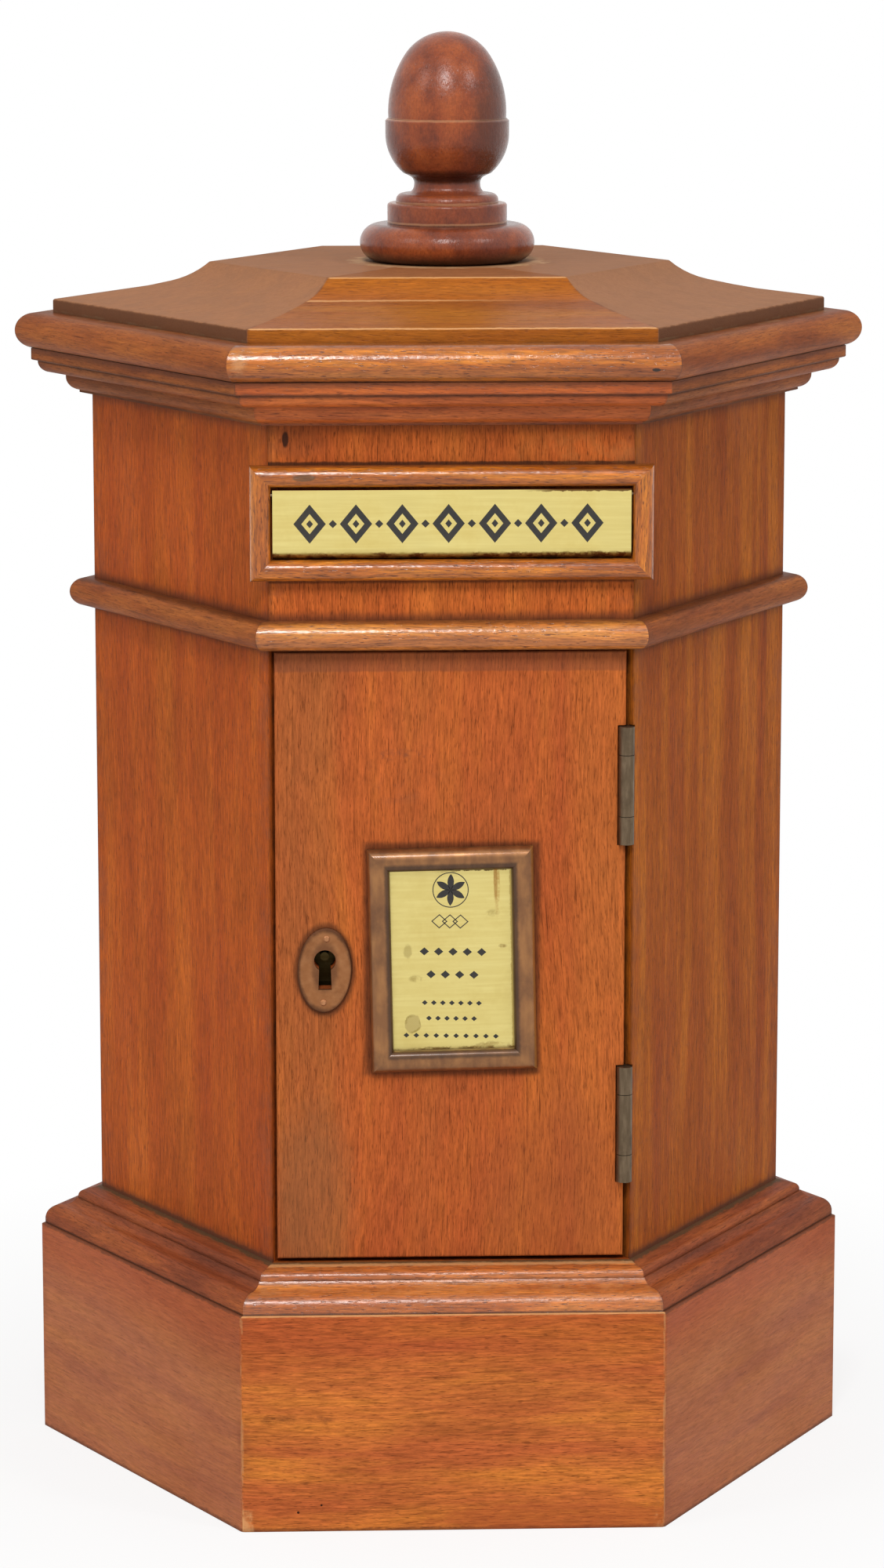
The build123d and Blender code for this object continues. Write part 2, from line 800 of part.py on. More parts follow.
def hinge_leaf(leaf, height):
    plane = leaf_plane(leaf, height)
    end_middle = (knuckle_middle + knuckle_end) / 2 + knuckle_gap
    spans = [(-end_middle, knuckle_end), (end_middle, knuckle_end)]
    if leaf == "door":
        spans = [(0, knuckle_middle)]
    root = knuckle_radius + knuckle_clearance
    with BuildPart() as piece:
        with BuildSketch(plane):
            with Locations(((leaf_width + root) / 2, 0)):
                Rectangle(leaf_width - root, hinge_length)
            for middle, length in spans:
                with Locations((root / 2, middle)):
                    Rectangle(root, length)
        extrude(amount=-leaf_thickness)
        for middle, length in spans:
            with BuildSketch(barrel_plane(height + middle - length / 2)):
                Circle(knuckle_radius)
            extrude(amount=length)
        if leaf == "door":
            with BuildSketch(barrel_plane(height - hinge_length / 2)):
                Circle(hinge_pin_radius + pin_play)
            extrude(amount=hinge_length, mode=Mode.SUBTRACT)
        else:
            with BuildSketch(barrel_plane(height - hinge_length / 2)):
                Circle(hinge_pin_radius)
            extrude(amount=hinge_length)
        with Locations(plane):
            with Locations(*leaf_holes):
                CounterSinkHole(
                    radius=screw_radius + seat,
                    counter_sink_radius=screw_head_radius + seat,
                    depth=leaf_thickness,
                )
    return piece


for position, height in hinge_heights.items():
    save(hinge_leaf("frame", height), f"{position}_hinge_frame_leaf")
    save(hinge_leaf("door", height), f"{position}_hinge_door_leaf")


def screw_profile():
    # countersunk wood screw, head up at the origin
    cone = screw_head_radius - screw_radius
    with BuildSketch(Plane.XZ) as profile:
        Polygon(
            (0, 0),
            (screw_head_radius, 0),
            (screw_radius, -cone),
            (screw_radius, -screw_length + 1.5 * screw_radius),
            (0, -screw_length),
            align=None,
        )
    return profile


with BuildPart() as wood_screw:
    add(screw_profile().sketch)
    revolve(axis=Axis.Z)
    with BuildSketch(Plane.XY):
        Rectangle(3 * screw_head_radius, screw_slot_width)
    extrude(amount=-screw_slot_depth, mode=Mode.SUBTRACT)


def place_screws(plane, places):
    return [plane * Pos(x, y) * wood_screw.part for x, y in places]


for leaf, label in {"frame": "frame_hinge_screws", "door": "door_screws"}.items():
    with BuildPart() as screws:
        for height in hinge_heights.values():
            add(place_screws(leaf_plane(leaf, height), leaf_holes))
        if leaf == "door":
            add(place_screws(lock_plane, [(x, -z) for x, z in lock_holes]))
    save(screws, label)

# Escutcheon and its two round-headed pins

with BuildPart() as escutcheon:
    with BuildSketch(on_front(keyhole_x, keyhole_height - escutcheon_drop, escutcheon_tilt)):
        Ellipse(escutcheon_width / 2, escutcheon_height / 2)
    extrude(amount=escutcheon_thickness)
    rim_edge = escutcheon.faces().sort_by(Axis.Y)[0].edges()
    chamfer(rim_edge, length=escutcheon_edge)
    with BuildSketch(on_front(keyhole_x, keyhole_height)):
        add(keyhole.sketch)
    extrude(amount=escutcheon_thickness, mode=Mode.SUBTRACT)
    with BuildSketch(on_front(keyhole_x, keyhole_height - escutcheon_drop, escutcheon_tilt)):
        with GridLocations(0, pin_spacing, 1, 2):
            Circle(pin_radius + seat)
    extrude(amount=escutcheon_thickness, mode=Mode.SUBTRACT)
save(escutcheon, "escutcheon")

with BuildPart() as escutcheon_pins:
    pin_plane = on_front(keyhole_x, keyhole_height - escutcheon_drop, escutcheon_tilt)
    with BuildSketch(pin_plane.offset(escutcheon_thickness)):
        with GridLocations(0, pin_spacing, 1, 2):
            Circle(pin_radius)
    extrude(amount=-pin_length - escutcheon_thickness + 2 * seat)
    with BuildSketch(pin_plane.offset(escutcheon_thickness)):
        with GridLocations(0, pin_spacing, 1, 2):
            Circle(pin_head_radius)
    extrude(amount=pin_head_height)
    head_edges = escutcheon_pins.faces().group_by(Axis.Y)[0].edges()
    chamfer(head_edges, length=pin_head_edge)
save(escutcheon_pins, "escutcheon_pins")

# Plaque: a brass frame of rounded section, with a plate let into its back

with BuildPart() as plaque_frame:
    plaque_plane = on_front(plaque_x, plaque_middle, plaque_tilt)
    with BuildSketch(plaque_plane):
        Rectangle(plaque_width, plaque_height)
        Rectangle(plaque_width - 2 * plaque_band, plaque_height - 2 * plaque_band, mode=Mode.SUBTRACT)
    extrude(amount=plaque_depth)
    outer_edges = plaque_frame.faces().sort_by(Axis.Y)[0].outer_wire().edges()
    fillet(outer_edges, radius=plaque_outer_round)
    inner_edges = plaque_frame.faces().sort_by(Axis.Y)[0].inner_wires()[0].edges()
    fillet(inner_edges, radius=plaque_inner_round)
    with BuildSketch(plaque_plane):
        Rectangle(
            plaque_width - 2 * plaque_band + 2 * plaque_rebate,
            plaque_height - 2 * plaque_band + 2 * plaque_rebate,
        )
    extrude(amount=plaque_plate_thickness + seat, mode=Mode.SUBTRACT)
save(plaque_frame, "plaque_frame")

with BuildPart() as plaque_plate:
    with BuildSketch(on_front(plaque_x, plaque_middle, plaque_tilt)):
        Rectangle(
            plaque_width - 2 * plaque_band + 2 * plaque_rebate - 2 * seat,
            plaque_height - 2 * plaque_band + 2 * plaque_rebate - 2 * seat,
        )
    extrude(amount=plaque_plate_thickness)
save(plaque_plate, "plaque_plate")

# Lock: a case let into the back of the door, open where the key and the bolt go

with BuildPart() as lock_case:
    with BuildSketch(Plane.XZ.offset(inner_face)):
        with Locations((lock_left + lock_width / 2, keyhole_height)):
            Rectangle(lock_width, lock_height)
    extrude(amount=lock_depth)
    with BuildSketch(Plane.XZ.offset(inner_face)):
        with Locations(lock_middle):
            Rectangle(lock_plate_width, lock_plate_height)
    extrude(amount=-lock_plate_thickness)
    # the key's chamber behind the front wall
    with BuildSketch(Plane.XZ.offset(inner_face)):
        with Locations((keyhole_x, keyhole_height)):
            Circle(lock_chamber_radius)
    extrude(amount=lock_depth - lock_wall, mode=Mode.SUBTRACT)
    with BuildSketch(on_front(keyhole_x, keyhole_height)):
        add(keyhole.sketch)
    extrude(amount=-board_thickness, mode=Mode.SUBTRACT)
    # channel of the bolt
    channel = bolt_length - bolt_rest + bolt_clearance
    with BuildSketch(Plane.YZ.offset(lock_left)):
        with Locations((bolt_y, bolt_z)):
            Rectangle(bolt_thickness + 2 * bolt_clearance, bolt_height + 2 * bolt_clearance)
    extrude(amount=channel, mode=Mode.SUBTRACT)
    # the post that the key turns on
    with BuildSketch(Plane.XZ.offset(inner_face)):
        with Locations((keyhole_x, keyhole_height)):
            Circle(lock_post_radius)
    extrude(amount=lock_depth)
    with Locations(lock_plane):
        with Locations(*[(x, -z) for x, z in lock_holes]):
            CounterSinkHole(
                radius=screw_radius + seat,
                counter_sink_radius=screw_head_radius + seat,
                depth=lock_plate_thickness,
            )
save(lock_case, "lock_case")

with BuildPart() as lock_bolt:
    with BuildSketch(Plane.YZ.offset(bolt_tip)):
        with Locations((bolt_y, bolt_z)):
            Rectangle(bolt_thickness, bolt_height)
    extrude(amount=bolt_length)
save(lock_bolt, "lock_bolt")
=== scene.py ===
import math

import bmesh
import bpy
from mathutils import Matrix, Vector


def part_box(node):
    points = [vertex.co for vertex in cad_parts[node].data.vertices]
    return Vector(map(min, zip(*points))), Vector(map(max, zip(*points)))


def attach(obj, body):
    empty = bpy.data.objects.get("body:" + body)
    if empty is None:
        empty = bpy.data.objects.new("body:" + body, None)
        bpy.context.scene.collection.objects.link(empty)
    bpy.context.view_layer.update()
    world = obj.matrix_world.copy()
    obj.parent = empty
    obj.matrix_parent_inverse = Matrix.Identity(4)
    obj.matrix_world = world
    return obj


# A hexagonal mahogany desk letter box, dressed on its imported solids. Metres, in the solids' own frame:
# +Z up, the front faces -Y.

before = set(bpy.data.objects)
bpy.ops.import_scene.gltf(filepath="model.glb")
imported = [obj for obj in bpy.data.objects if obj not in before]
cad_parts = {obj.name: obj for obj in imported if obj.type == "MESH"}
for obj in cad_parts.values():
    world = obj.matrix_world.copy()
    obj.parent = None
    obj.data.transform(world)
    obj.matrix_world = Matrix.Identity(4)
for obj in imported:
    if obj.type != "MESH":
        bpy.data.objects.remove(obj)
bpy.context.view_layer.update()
scene = bpy.context.scene
print("frame loaded:", len(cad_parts), "pieces")


def linear(hexColour):
    # an sRGB hex colour as the linear one that a socket takes
    parts = [int(hexColour[i:i + 2], 16) / 255 for i in (1, 3, 5)]
    return [c / 12.92 if c <= 0.04045 else ((c + 0.055) / 1.055) ** 2.4 for c in parts] + [1.0]


def addNode(tree, kind, inputs=None, **settings):
    # one node with its settings; an input is a value, a socket, or a node whose first live output is taken
    node = tree.nodes.new("ShaderNode" + kind)
    for name, value in settings.items():
        setattr(node, name, value)
    for name, value in (inputs or {}).items():
        if isinstance(value, bpy.types.Node):
            value = next(socket for socket in value.outputs if socket.enabled)
        if isinstance(value, bpy.types.NodeSocket):
            tree.links.new(value, node.inputs[name])
        else:
            node.inputs[name].default_value = value
    return node


def newMaterial(name):
    material = bpy.data.materials.new(name)
    material.use_nodes = True
    material.node_tree.nodes.clear()
    return material, material.node_tree


def dress(node, material):
    # gives a CAD node its material, on every slot it has
    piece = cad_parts[node]
    for index in range(len(piece.data.materials)):
        piece.data.materials[index] = material


def middleOf(node):
    # the middle of a piece as the front shows it: along and up
    low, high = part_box(node)
    return (low.x + high.x) / 2, (low.z + high.z) / 2


# places on the box, taken from its solids

heights = {
    "plinthTop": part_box("plinth_front")[1].z,
    "sill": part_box("base_moulding_front")[1].z,
    "doorTop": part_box("door_panel")[1].z,
    "beltLow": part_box("belt_moulding_front")[0].z,
    "beltHigh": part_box("belt_moulding_front")[1].z,
    "frameLow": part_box("flap_frame_bottom")[0].z,
    "frameHigh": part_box("flap_frame_top")[1].z,
    "crownLow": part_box("crown_moulding_front")[0].z,
    "caseTop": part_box("crown_moulding_front")[1].z,
    "beadTop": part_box("bead_moulding_front")[1].z,
    "roofTop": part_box("roof_block")[1].z,
}
caseFace = -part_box("door_panel")[0].y
escutcheonMiddle = middleOf("escutcheon")
plaqueMiddle = middleOf("plaque_frame")
plaqueTilt = math.radians(1.2)
finialMiddle = middleOf("finial")
sideAngles = {  # the way each side faces, in degrees
    "front": -90, "front_right": -30, "rear_right": 30, "back": 90, "rear_left": 150, "front_left": 210,
}


def sideAxes(tree, angle):
    # places in the axes of one side: out from the middle of the box, along the side, up, and off its mitres
    spot = addNode(tree, "TexCoord").outputs["Object"]
    turned = addNode(tree, "Mapping", {"Vector": spot, "Rotation": (0, 0, -math.radians(angle))})
    axes = addNode(tree, "SeparateXYZ", {"Vector": turned})
    reach = addNode(tree, "Math", {0: axes.outputs["X"], 1: 0.5}, operation="MULTIPLY")
    shift = addNode(tree, "Math", {0: axes.outputs["Y"]}, operation="ABSOLUTE")
    side = addNode(tree, "Math", {0: shift, 1: math.cos(math.radians(30))}, operation="MULTIPLY")
    mitre = addNode(tree, "Math", {0: reach, 1: side}, operation="SUBTRACT")
    return {
        "out": axes.outputs["X"], "along": axes.outputs["Y"], "up": axes.outputs["Z"],
        "mitre": mitre.outputs[0],
    }


def near(tree, value, middle, half, soft, ragged, raggedBy):
    # 1 within half of the middle, fading out over soft; a ragged noise moves its edge about
    if raggedBy:
        value = addNode(tree, "Math", {0: ragged, 1: 2 * raggedBy, 2: value}, operation="MULTIPLY_ADD")
        middle = middle + raggedBy
    off = addNode(tree, "Math", {0: value, 1: middle}, operation="SUBTRACT")
    off = addNode(tree, "Math", {0: off}, operation="ABSOLUTE")
    return addNode(
        tree,
        "MapRange",
        {"Value": off, "From Min": half + soft, "From Max": half, "To Min": 0.0, "To Max": 1.0},
        interpolation_type="SMOOTHSTEP",
    )


def stain(tree, colour, mask, hexColour, strength):
    # lays one colour over another where the mask is
    amount = addNode(tree, "Math", {0: mask, 1: strength}, operation="MULTIPLY", use_clamp=True)
    return addNode(tree, "Mix", {0: amount, 6: colour, 7: linear(hexColour)}, data_type="RGBA")


# Marks of use. A line lies at one place on an axis, a spot at a place along and up; half and size reach from
# the middle to the edge, which is soft over a length in a line and a pane, and over a share of the size in a
# blot and a ring. All are in metres.

def line(axis, at, half, soft, hexColour, strength, **more):
    return dict(kind=axis, at=at, half=half, soft=soft, hex=hexColour, strength=strength, **more)


def spotMark(at, size, soft, hexColour, strength, kind="blot", **more):
    return dict(kind=kind, at=at, size=size, soft=soft, hex=hexColour, strength=strength, **more)


def markMask(tree, axes, mark, ragged, patches):
    # where one mark lies: a line on one axis, an oval blot, a ring, or a pane with straight sides
    by = mark.get("ragged", 0.0)
    kind = mark["kind"]
    if kind in ("blot", "ring"):
        spot = addNode(tree, "CombineXYZ", {"X": axes["along"], "Y": axes[mark.get("upward", "up")]})
        off = addNode(tree, "VectorMath", {0: spot, 1: (*mark["at"], 0)}, operation="SUBTRACT")
        scale = (1 / mark["size"][0], 1 / mark["size"][1], 0)
        off = addNode(tree, "VectorMath", {0: off, 1: scale}, operation="MULTIPLY")
        off = addNode(tree, "VectorMath", {0: off}, operation="LENGTH").outputs["Value"]
        middle, half = (0.0, 1.0) if kind == "blot" else (1.0, mark["half"])
        mask = near(tree, off, middle, half, mark["soft"], ragged, by)
    elif kind == "pane":
        first = near(tree, axes["along"], mark["at"][0], mark["size"][0], mark["soft"], ragged, by)
        second = near(tree, axes["up"], mark["at"][1], mark["size"][1], mark["soft"], ragged, by)
        mask = addNode(tree, "Math", {0: first, 1: second}, operation="MULTIPLY")
    else:
        mask = near(tree, axes[kind], mark["at"], mark["half"], mark["soft"], ragged, by)
    if mark.get("patchy"):
        mask = addNode(tree, "Math", {0: mask, 1: patches}, operation="MULTIPLY")
    for key, limits in mark.get("within", {}).items():
        fade = addNode(
            tree,
            "MapRange",
            {"Value": axes[key], "From Min": limits[0], "From Max": limits[1]},
            interpolation_type="SMOOTHSTEP",
        )
        mask = addNode(tree, "Math", {0: mask, 1: fade}, operation="MULTIPLY")
    return mask


# Planed mahogany under an old hand-rubbed lacquer: reddish orange, with short dark pores along the grain,
# brown dirt and a painted shade in every corner, and a soft gloss that is sharper on the rounded mouldings.

boardLook = {  # sizes run along the grain, across it and into the wood
    "light": "#BA5E1E", "middle": "#AE521A", "dark": "#A24818", "figureLength": 0.14, "figureWidth": 0.014,
    "ribbon": 0.08, "ribbonSize": (0.35, 0.0066, 0.02),
    "patina": "#8A4A22", "patinaAmount": 0.35,
    "grain": 0.5, "fibreSize": (0.008, 0.00075, 0.0008), "fibreHeight": 0.00005,
    "hairs": 0.55, "hairSize": (0.013, 0.00040, 0.0006),
    "pore": "#52220C", "pores": 0.55, "poreSize": (0.0028, 0.00032, 0.0004), "poreDepth": 0.00005,
    "grimeAndShade": 0.8, "grimeAndShadeReach": 0.0025,
    "roughness": 0.52, "ior": 1.15, "coat": 0.0, "coatRoughness": 0.28, "coatIor": 1.5,
    "ripple": 0.00002, "rippleScale": 150,
}
rightLook = dict(  # strongly striped
    boardLook, light="#B0621A", middle="#A05216", dark="#8E4214", ribbon=0.6,
)
doorLook = dict(
    boardLook, light="#BE682C", middle="#B25A2A", dark="#A65028", patina="#98542C", pores=0.5, hairs=0.75,
    grain=0.46, ribbon=0.12, patinaAmount=0.5, figureWidth=0.020,
)
# painted light: the upper panel is lighter than the side boards, against the shade that the crown casts on
# it
litPanelLook = dict(
    boardLook, light="#C2682C", middle="#BA5E28", dark="#B05626", ribbon=0.1, pores=0.7, hairs=0.7,
    grain=0.55,
)
plinthLook = dict(
    boardLook, light="#CA7832", middle="#BE6A32", dark="#B25C30", pores=0.55, hairs=0.5, grain=0.58,
    patinaAmount=0.25, figureWidth=0.009, figureLength=0.08, roughness=0.46,
)
# painted shade and sheen: the plinth's side lengths are darker, greyer copies of its front
dullShadedPlinthLook = dict(
    plinthLook, light="#B46E42", middle="#AE6842", dark="#A46040", pores=0.3, hairs=0.2, grain=0.3,
)
mouldingLook = dict(
    boardLook, light="#CC7A22", middle="#B0601A", dark="#8C4614", pores=0.9, hairs=0.7, grain=0.65,
    patinaAmount=0.25, figureWidth=0.004, figureLength=0.06, grimeAndShade=0.95, roughness=0.42, ior=1.2,
    coat=0.85, coatRoughness=0.16, ripple=0.00007, rippleScale=420,
)
# painted shade: the side lengths of the mouldings are darker, duller copies of their front wood
dullShadedMouldingLook = dict(
    mouldingLook, light="#A8602A", middle="#985224", dark="#80401C", patina="#6E442C", patinaAmount=0.5,
    grain=0.4, pores=0.5, ior=1.15, roughness=0.5, coat=0.04, coatRoughness=0.24, figureWidth=0.010,
)
# the same painted shade, redder, for the sides of the base moulding
redShadedMouldingLook = dict(
    dullShadedMouldingLook, light="#A4582C", middle="#924A28", dark="#783A20", patina="#74402C",
)
roofLook = dict(
    boardLook, light="#A8641E", middle="#9A561C", dark="#8C4A1A", pores=0.45, hairs=0.4, grain=0.4,
    patinaAmount=0.2, figureWidth=0.012, ribbon=0.0, roughness=0.42, coat=0.05, coatRoughness=0.2,
)
turnedLook = dict(  # end grain and long grain by turns, so the fibres are short
    boardLook, light="#9C4E26", middle="#884020", dark="#6E321C", pore="#38140A", patina="#5C3530",
    pores=0.2, hairs=0.0, grain=0.32, fibreSize=(0.0011, 0.00075, 0.0008), patinaAmount=0.6,
    figureWidth=0.010, figureLength=0.012, ribbon=0.0, grimeAndShade=0.9, roughness=0.44, coat=1.0, coatIor=1.36,
    coatRoughness=0.26, ripple=0.00009, rippleScale=700,
)
# dark brown: grime in the joints, and painted shade where it darkens corners, overhangs and round raised
# parts
grimeAndShade = "#3A2318"
# brown: painted shade along the mouldings and at the plinth's foot, and grime at a nick and along the roof's
# mitres
shadeAndGrimeBrown = "#5E3424"
# pale: wear on knocked edges and corners, and painted highlights along arrises of the roof and the base
# moulding
paleWearAndHighlight = "#E0A870"


def grainSpot(tree, axes, grain, seed):
    # places along the grain, across it and into the wood, moved on by the seed; grain is "up" or "along"
    run, cross = ("up", "along") if grain == "up" else ("along", "up")
    spot = addNode(tree, "CombineXYZ", {"X": axes[run], "Y": axes[cross], "Z": axes["out"]})
    moved = (seed * 0.37, seed * 0.11, seed * 0.05)
    spot = addNode(tree, "VectorMath", {0: spot, 1: moved}, operation="ADD")
    # the grain wanders by up to 3 mm each way, over 5 to 11 cm
    sway = addNode(tree, "Mapping", {"Vector": spot, "Scale": (9, 20, 20)})
    sway = addNode(tree, "TexNoise", {"Vector": sway, "Scale": 1.0, "Detail": 0.0})
    sway = addNode(tree, "VectorMath", {0: sway.outputs["Color"], 1: (0.5, 0.5, 0.5)}, operation="SUBTRACT")
    sway = addNode(tree, "VectorMath", {0: sway, 1: (0.0, 0.006, 0.006)}, operation="MULTIPLY")
    return addNode(tree, "VectorMath", {0: spot, 1: sway}, operation="ADD")


def growthFigure(tree, spot, look):
    # soft bands of redder and yellower wood, and over them the ribbon stripe of interlocked grain
    length, width = look["figureLength"], look["figureWidth"]
    figure = addNode(tree, "Mapping", {"Vector": spot, "Scale": (1 / length, 1 / width, 1 / width)})
    figure = addNode(tree, "TexNoise", {"Vector": figure, "Scale": 1.0, "Detail": 3.0, "Roughness": 0.6})
    colour = addNode(tree, "ValToRGB", {"Fac": figure})
    stops = colour.color_ramp.elements
    stops[0].position, stops[0].color = 0.34, linear(look["dark"])
    stops[1].position, stops[1].color = 0.66, linear(look["light"])
    stops.new(0.5).color = linear(look["middle"])
    stripe = tuple(1 / size for size in look["ribbonSize"])
    ribbon = addNode(tree, "Mapping", {"Vector": spot, "Scale": stripe})
    ribbon = addNode(tree, "TexNoise", {"Vector": ribbon, "Scale": 1.0, "Detail": 2.0, "Roughness": 0.6})
    for shade, limit in (("dark", 0.66), ("light", 0.34)):
        mask = addNode(tree, "MapRange", {"Value": ribbon, "From Min": 0.46, "From Max": limit})
        colour = stain(tree, colour, mask, look[shade], look["ribbon"])
    return colour


def fineGrain(tree, colour, spot, look):
    # fibres, hairlines and pores; gives back the colour, the fibres and where the pores are
    # the fibres are 0.4 to 0.8 mm wide here, coarser than the real 0.2 mm so that they show
    finest = tuple(1 / size for size in look["fibreSize"])
    fibre = addNode(tree, "Mapping", {"Vector": spot, "Scale": finest})
    fibre = addNode(tree, "TexNoise", {"Vector": fibre, "Scale": 1.0, "Detail": 3.0, "Roughness": 0.75})
    value = addNode(tree, "MapRange", {
        "Value": fibre, "From Min": 0.2, "From Max": 0.8,
        "To Min": 1 - look["grain"], "To Max": 1 + look["grain"],
    })
    colour = addNode(tree, "HueSaturation", {"Color": colour, "Value": value})
    # long dark hairlines, 0.3 mm wide
    hair = addNode(tree, "Mapping", {"Vector": spot, "Scale": tuple(1 / size for size in look["hairSize"])})
    hair = addNode(tree, "TexNoise", {"Vector": hair, "Scale": 1.0, "Detail": 2.0})
    hairMask = addNode(tree, "MapRange", {"Value": hair, "From Min": 0.60, "From Max": 0.74})
    colour = stain(tree, colour, hairMask, look["pore"], look["hairs"])
    # pores: dark dashes 2 to 3 mm long, 0.3 mm wide where real ones are 0.2 mm, so that they show
    pore = addNode(tree, "Mapping", {"Vector": spot, "Scale": tuple(1 / size for size in look["poreSize"])})
    pore = addNode(tree, "TexNoise", {"Vector": pore, "Scale": 1.0, "Detail": 1.0})
    poreMask = addNode(tree, "MapRange", {"Value": pore, "From Min": 0.60, "From Max": 0.72})
    return stain(tree, colour, poreMask, look["pore"], look["pores"]), fibre, poreMask


def mahogany(name, look, angle, grain, seed, marks=()):
    # the wood of one piece on the side that faces the angle; the marks are laid on in their order
    material, tree = newMaterial(name)
    axes = sideAxes(tree, angle)
    spot = grainSpot(tree, axes, grain, seed)
    colour = growthFigure(tree, spot, look)

    # patina: browner clouds from 3 mm to a few centimetres across
    cloud = addNode(tree, "Mapping", {"Vector": spot, "Scale": (14, 34, 34)})
    cloud = addNode(tree, "TexNoise", {"Vector": cloud, "Scale": 1.0, "Detail": 6.0, "Roughness": 0.62})
    cloudMask = addNode(tree, "MapRange", {"Value": cloud, "From Min": 0.46, "From Max": 0.66})
    colour = stain(tree, colour, cloudMask, look["patina"], look["patinaAmount"])

    # marks of use, broken up by two noises: what the wood took in lies under its grain, the rest on top
    ragged = addNode(tree, "TexNoise", {"Vector": spot, "Scale": 260.0, "Detail": 4.0, "Roughness": 0.65})
    patches = addNode(tree, "TexNoise", {"Vector": spot, "Scale": 95.0, "Detail": 5.0, "Roughness": 0.7})
    patches = addNode(tree, "MapRange", {"Value": patches, "From Min": 0.46, "From Max": 0.60})
    masks = [(mark, markMask(tree, axes, mark, ragged.outputs["Fac"], patches)) for mark in marks]
    for mark, mask in masks:
        if mark.get("under"):
            colour = stain(tree, colour, mask, mark["hex"], mark["strength"])
    colour, fibre, poreMask = fineGrain(tree, colour, spot, look)

    # the lacquer is rubbed unevenly, and dull where dust has settled in it
    gloss = addNode(tree, "MapRange", {
        "Value": cloud, "From Min": 0.3, "From Max": 0.7,
        "To Min": look["roughness"] - 0.06, "To Max": look["roughness"] + 0.08,
    })
    for mark, mask in masks:
        if not mark.get("under"):
            colour = stain(tree, colour, mask, mark["hex"], mark["strength"])
        if "rough" in mark:
            gloss = addNode(tree, "Mix", {0: mask, 2: gloss, 3: mark["rough"]})
    # old wax and dirt, gathered unevenly in every corner, and a painted shade there: occlusion darkens each
    # crease
    corner = addNode(tree, "AmbientOcclusion", {"Distance": look["grimeAndShadeReach"]}, samples=6)
    corner = addNode(tree, "MapRange", {"Value": corner.outputs["AO"], "From Min": 0.78, "From Max": 0.30})
    uneven = addNode(tree, "Math", {0: patches, 1: 0.55, 2: 0.45}, operation="MULTIPLY_ADD")
    corner = addNode(tree, "Math", {0: corner, 1: uneven}, operation="MULTIPLY")
    colour = stain(tree, colour, corner, grimeAndShade, look["grimeAndShade"])

    # and it has sunk over the pores, and rippled where it was laid on thick
    ripple = addNode(tree, "TexNoise", {"Vector": spot, "Scale": look["rippleScale"], "Detail": 2.0})
    lacquer = addNode(tree, "Math", {0: ripple, 1: look["ripple"]}, operation="MULTIPLY")
    sunk = addNode(tree, "Math", {0: poreMask, 1: -look["poreDepth"], 2: lacquer}, operation="MULTIPLY_ADD")
    height = addNode(tree, "Math", {0: fibre, 1: look["fibreHeight"], 2: sunk}, operation="MULTIPLY_ADD")
    bump = addNode(tree, "Bump", {"Height": height, "Distance": 1.0, "Strength": 1.0})
    shader = addNode(tree, "BsdfPrincipled", {
        "Base Color": colour, "Roughness": gloss, "Normal": bump, "IOR": look["ior"],
        "Coat Weight": look["coat"], "Coat Roughness": look["coatRoughness"], "Coat IOR": look["coatIor"],
        "Coat Normal": bump,
    })
    addNode(tree, "OutputMaterial", {"Surface": shader})
    return material


# the case boards: grime at every joint, a painted shade along each moulding, and browner towards the mitres
onFace = {"out": (caseFace - 0.0010, caseFace - 0.0004)}  # only the outer face, not the inside of the box


def onlyOnFace(marks):
    return [dict(mark, within=onFace) for mark in marks]


boardMarks = onlyOnFace([
    line("up", heights["sill"], 0.0008, 0.0008, "#4A3622", 0.7, ragged=0.0008),
    # painted shade: soft dark bands above the base and the belt, and under the belt and the crown
    line("up", heights["sill"], 0.0003, 0.0034, shadeAndGrimeBrown, 0.75, ragged=0.001),
    line("up", heights["beltHigh"], 0.0004, 0.0034, shadeAndGrimeBrown, 0.65, ragged=0.0012),
    line("up", heights["beltLow"], 0.0002, 0.0026, grimeAndShade, 0.5, ragged=0.0008),
    line("up", heights["crownLow"], 0.0004, 0.0040, shadeAndGrimeBrown, 0.4, ragged=0.0012),
    line("mitre", 0.0, 0.0002, 0.0012, grimeAndShade, 0.35, ragged=0.0006),
    line("mitre", 0.0, 0.001, 0.010, "#7A4630", 0.35, patchy=True),
])
for index, (node, side) in enumerate({
    "side_front_left": "front_left",
    "side_rear_left": "rear_left",
    "back_panel": "back",
    "side_rear_right": "rear_right",
    "side_front_right": "front_right",
}.items()):
    look = rightLook if side == "front_right" else boardLook
    dress(node, mahogany("mahoganyBoard_" + side, look, sideAngles[side], "up", 1.0 + index, boardMarks))

# the upper panel: grime round the flap's frame, a rubbed patch over it at the right, and at the left a
# dark nick
panelMarks = boardMarks + onlyOnFace([
    line("up", heights["frameHigh"] + 0.0003, 0.0003, 0.0006, grimeAndShade, 0.85, ragged=0.0005),
    line("up", heights["frameLow"] - 0.0004, 0.0003, 0.0008, grimeAndShade, 0.6, ragged=0.0005),
    spotMark((0.0390, 0.3482), (0.0165, 0.0060), 0.25, "#B4703A", 0.35, patchy=True),
    spotMark((-0.0524, 0.3525), (0.0008, 0.0019), 0.6, "#1E120D", 0.95, ragged=0.3),
    spotMark((-0.0490, 0.3515), (0.006, 0.003), 1.2, shadeAndGrimeBrown, 0.3),
])
dress("front_panel", mahogany("mahoganyUpperPanel", litPanelLook, -90, "up", 7.3, panelMarks))
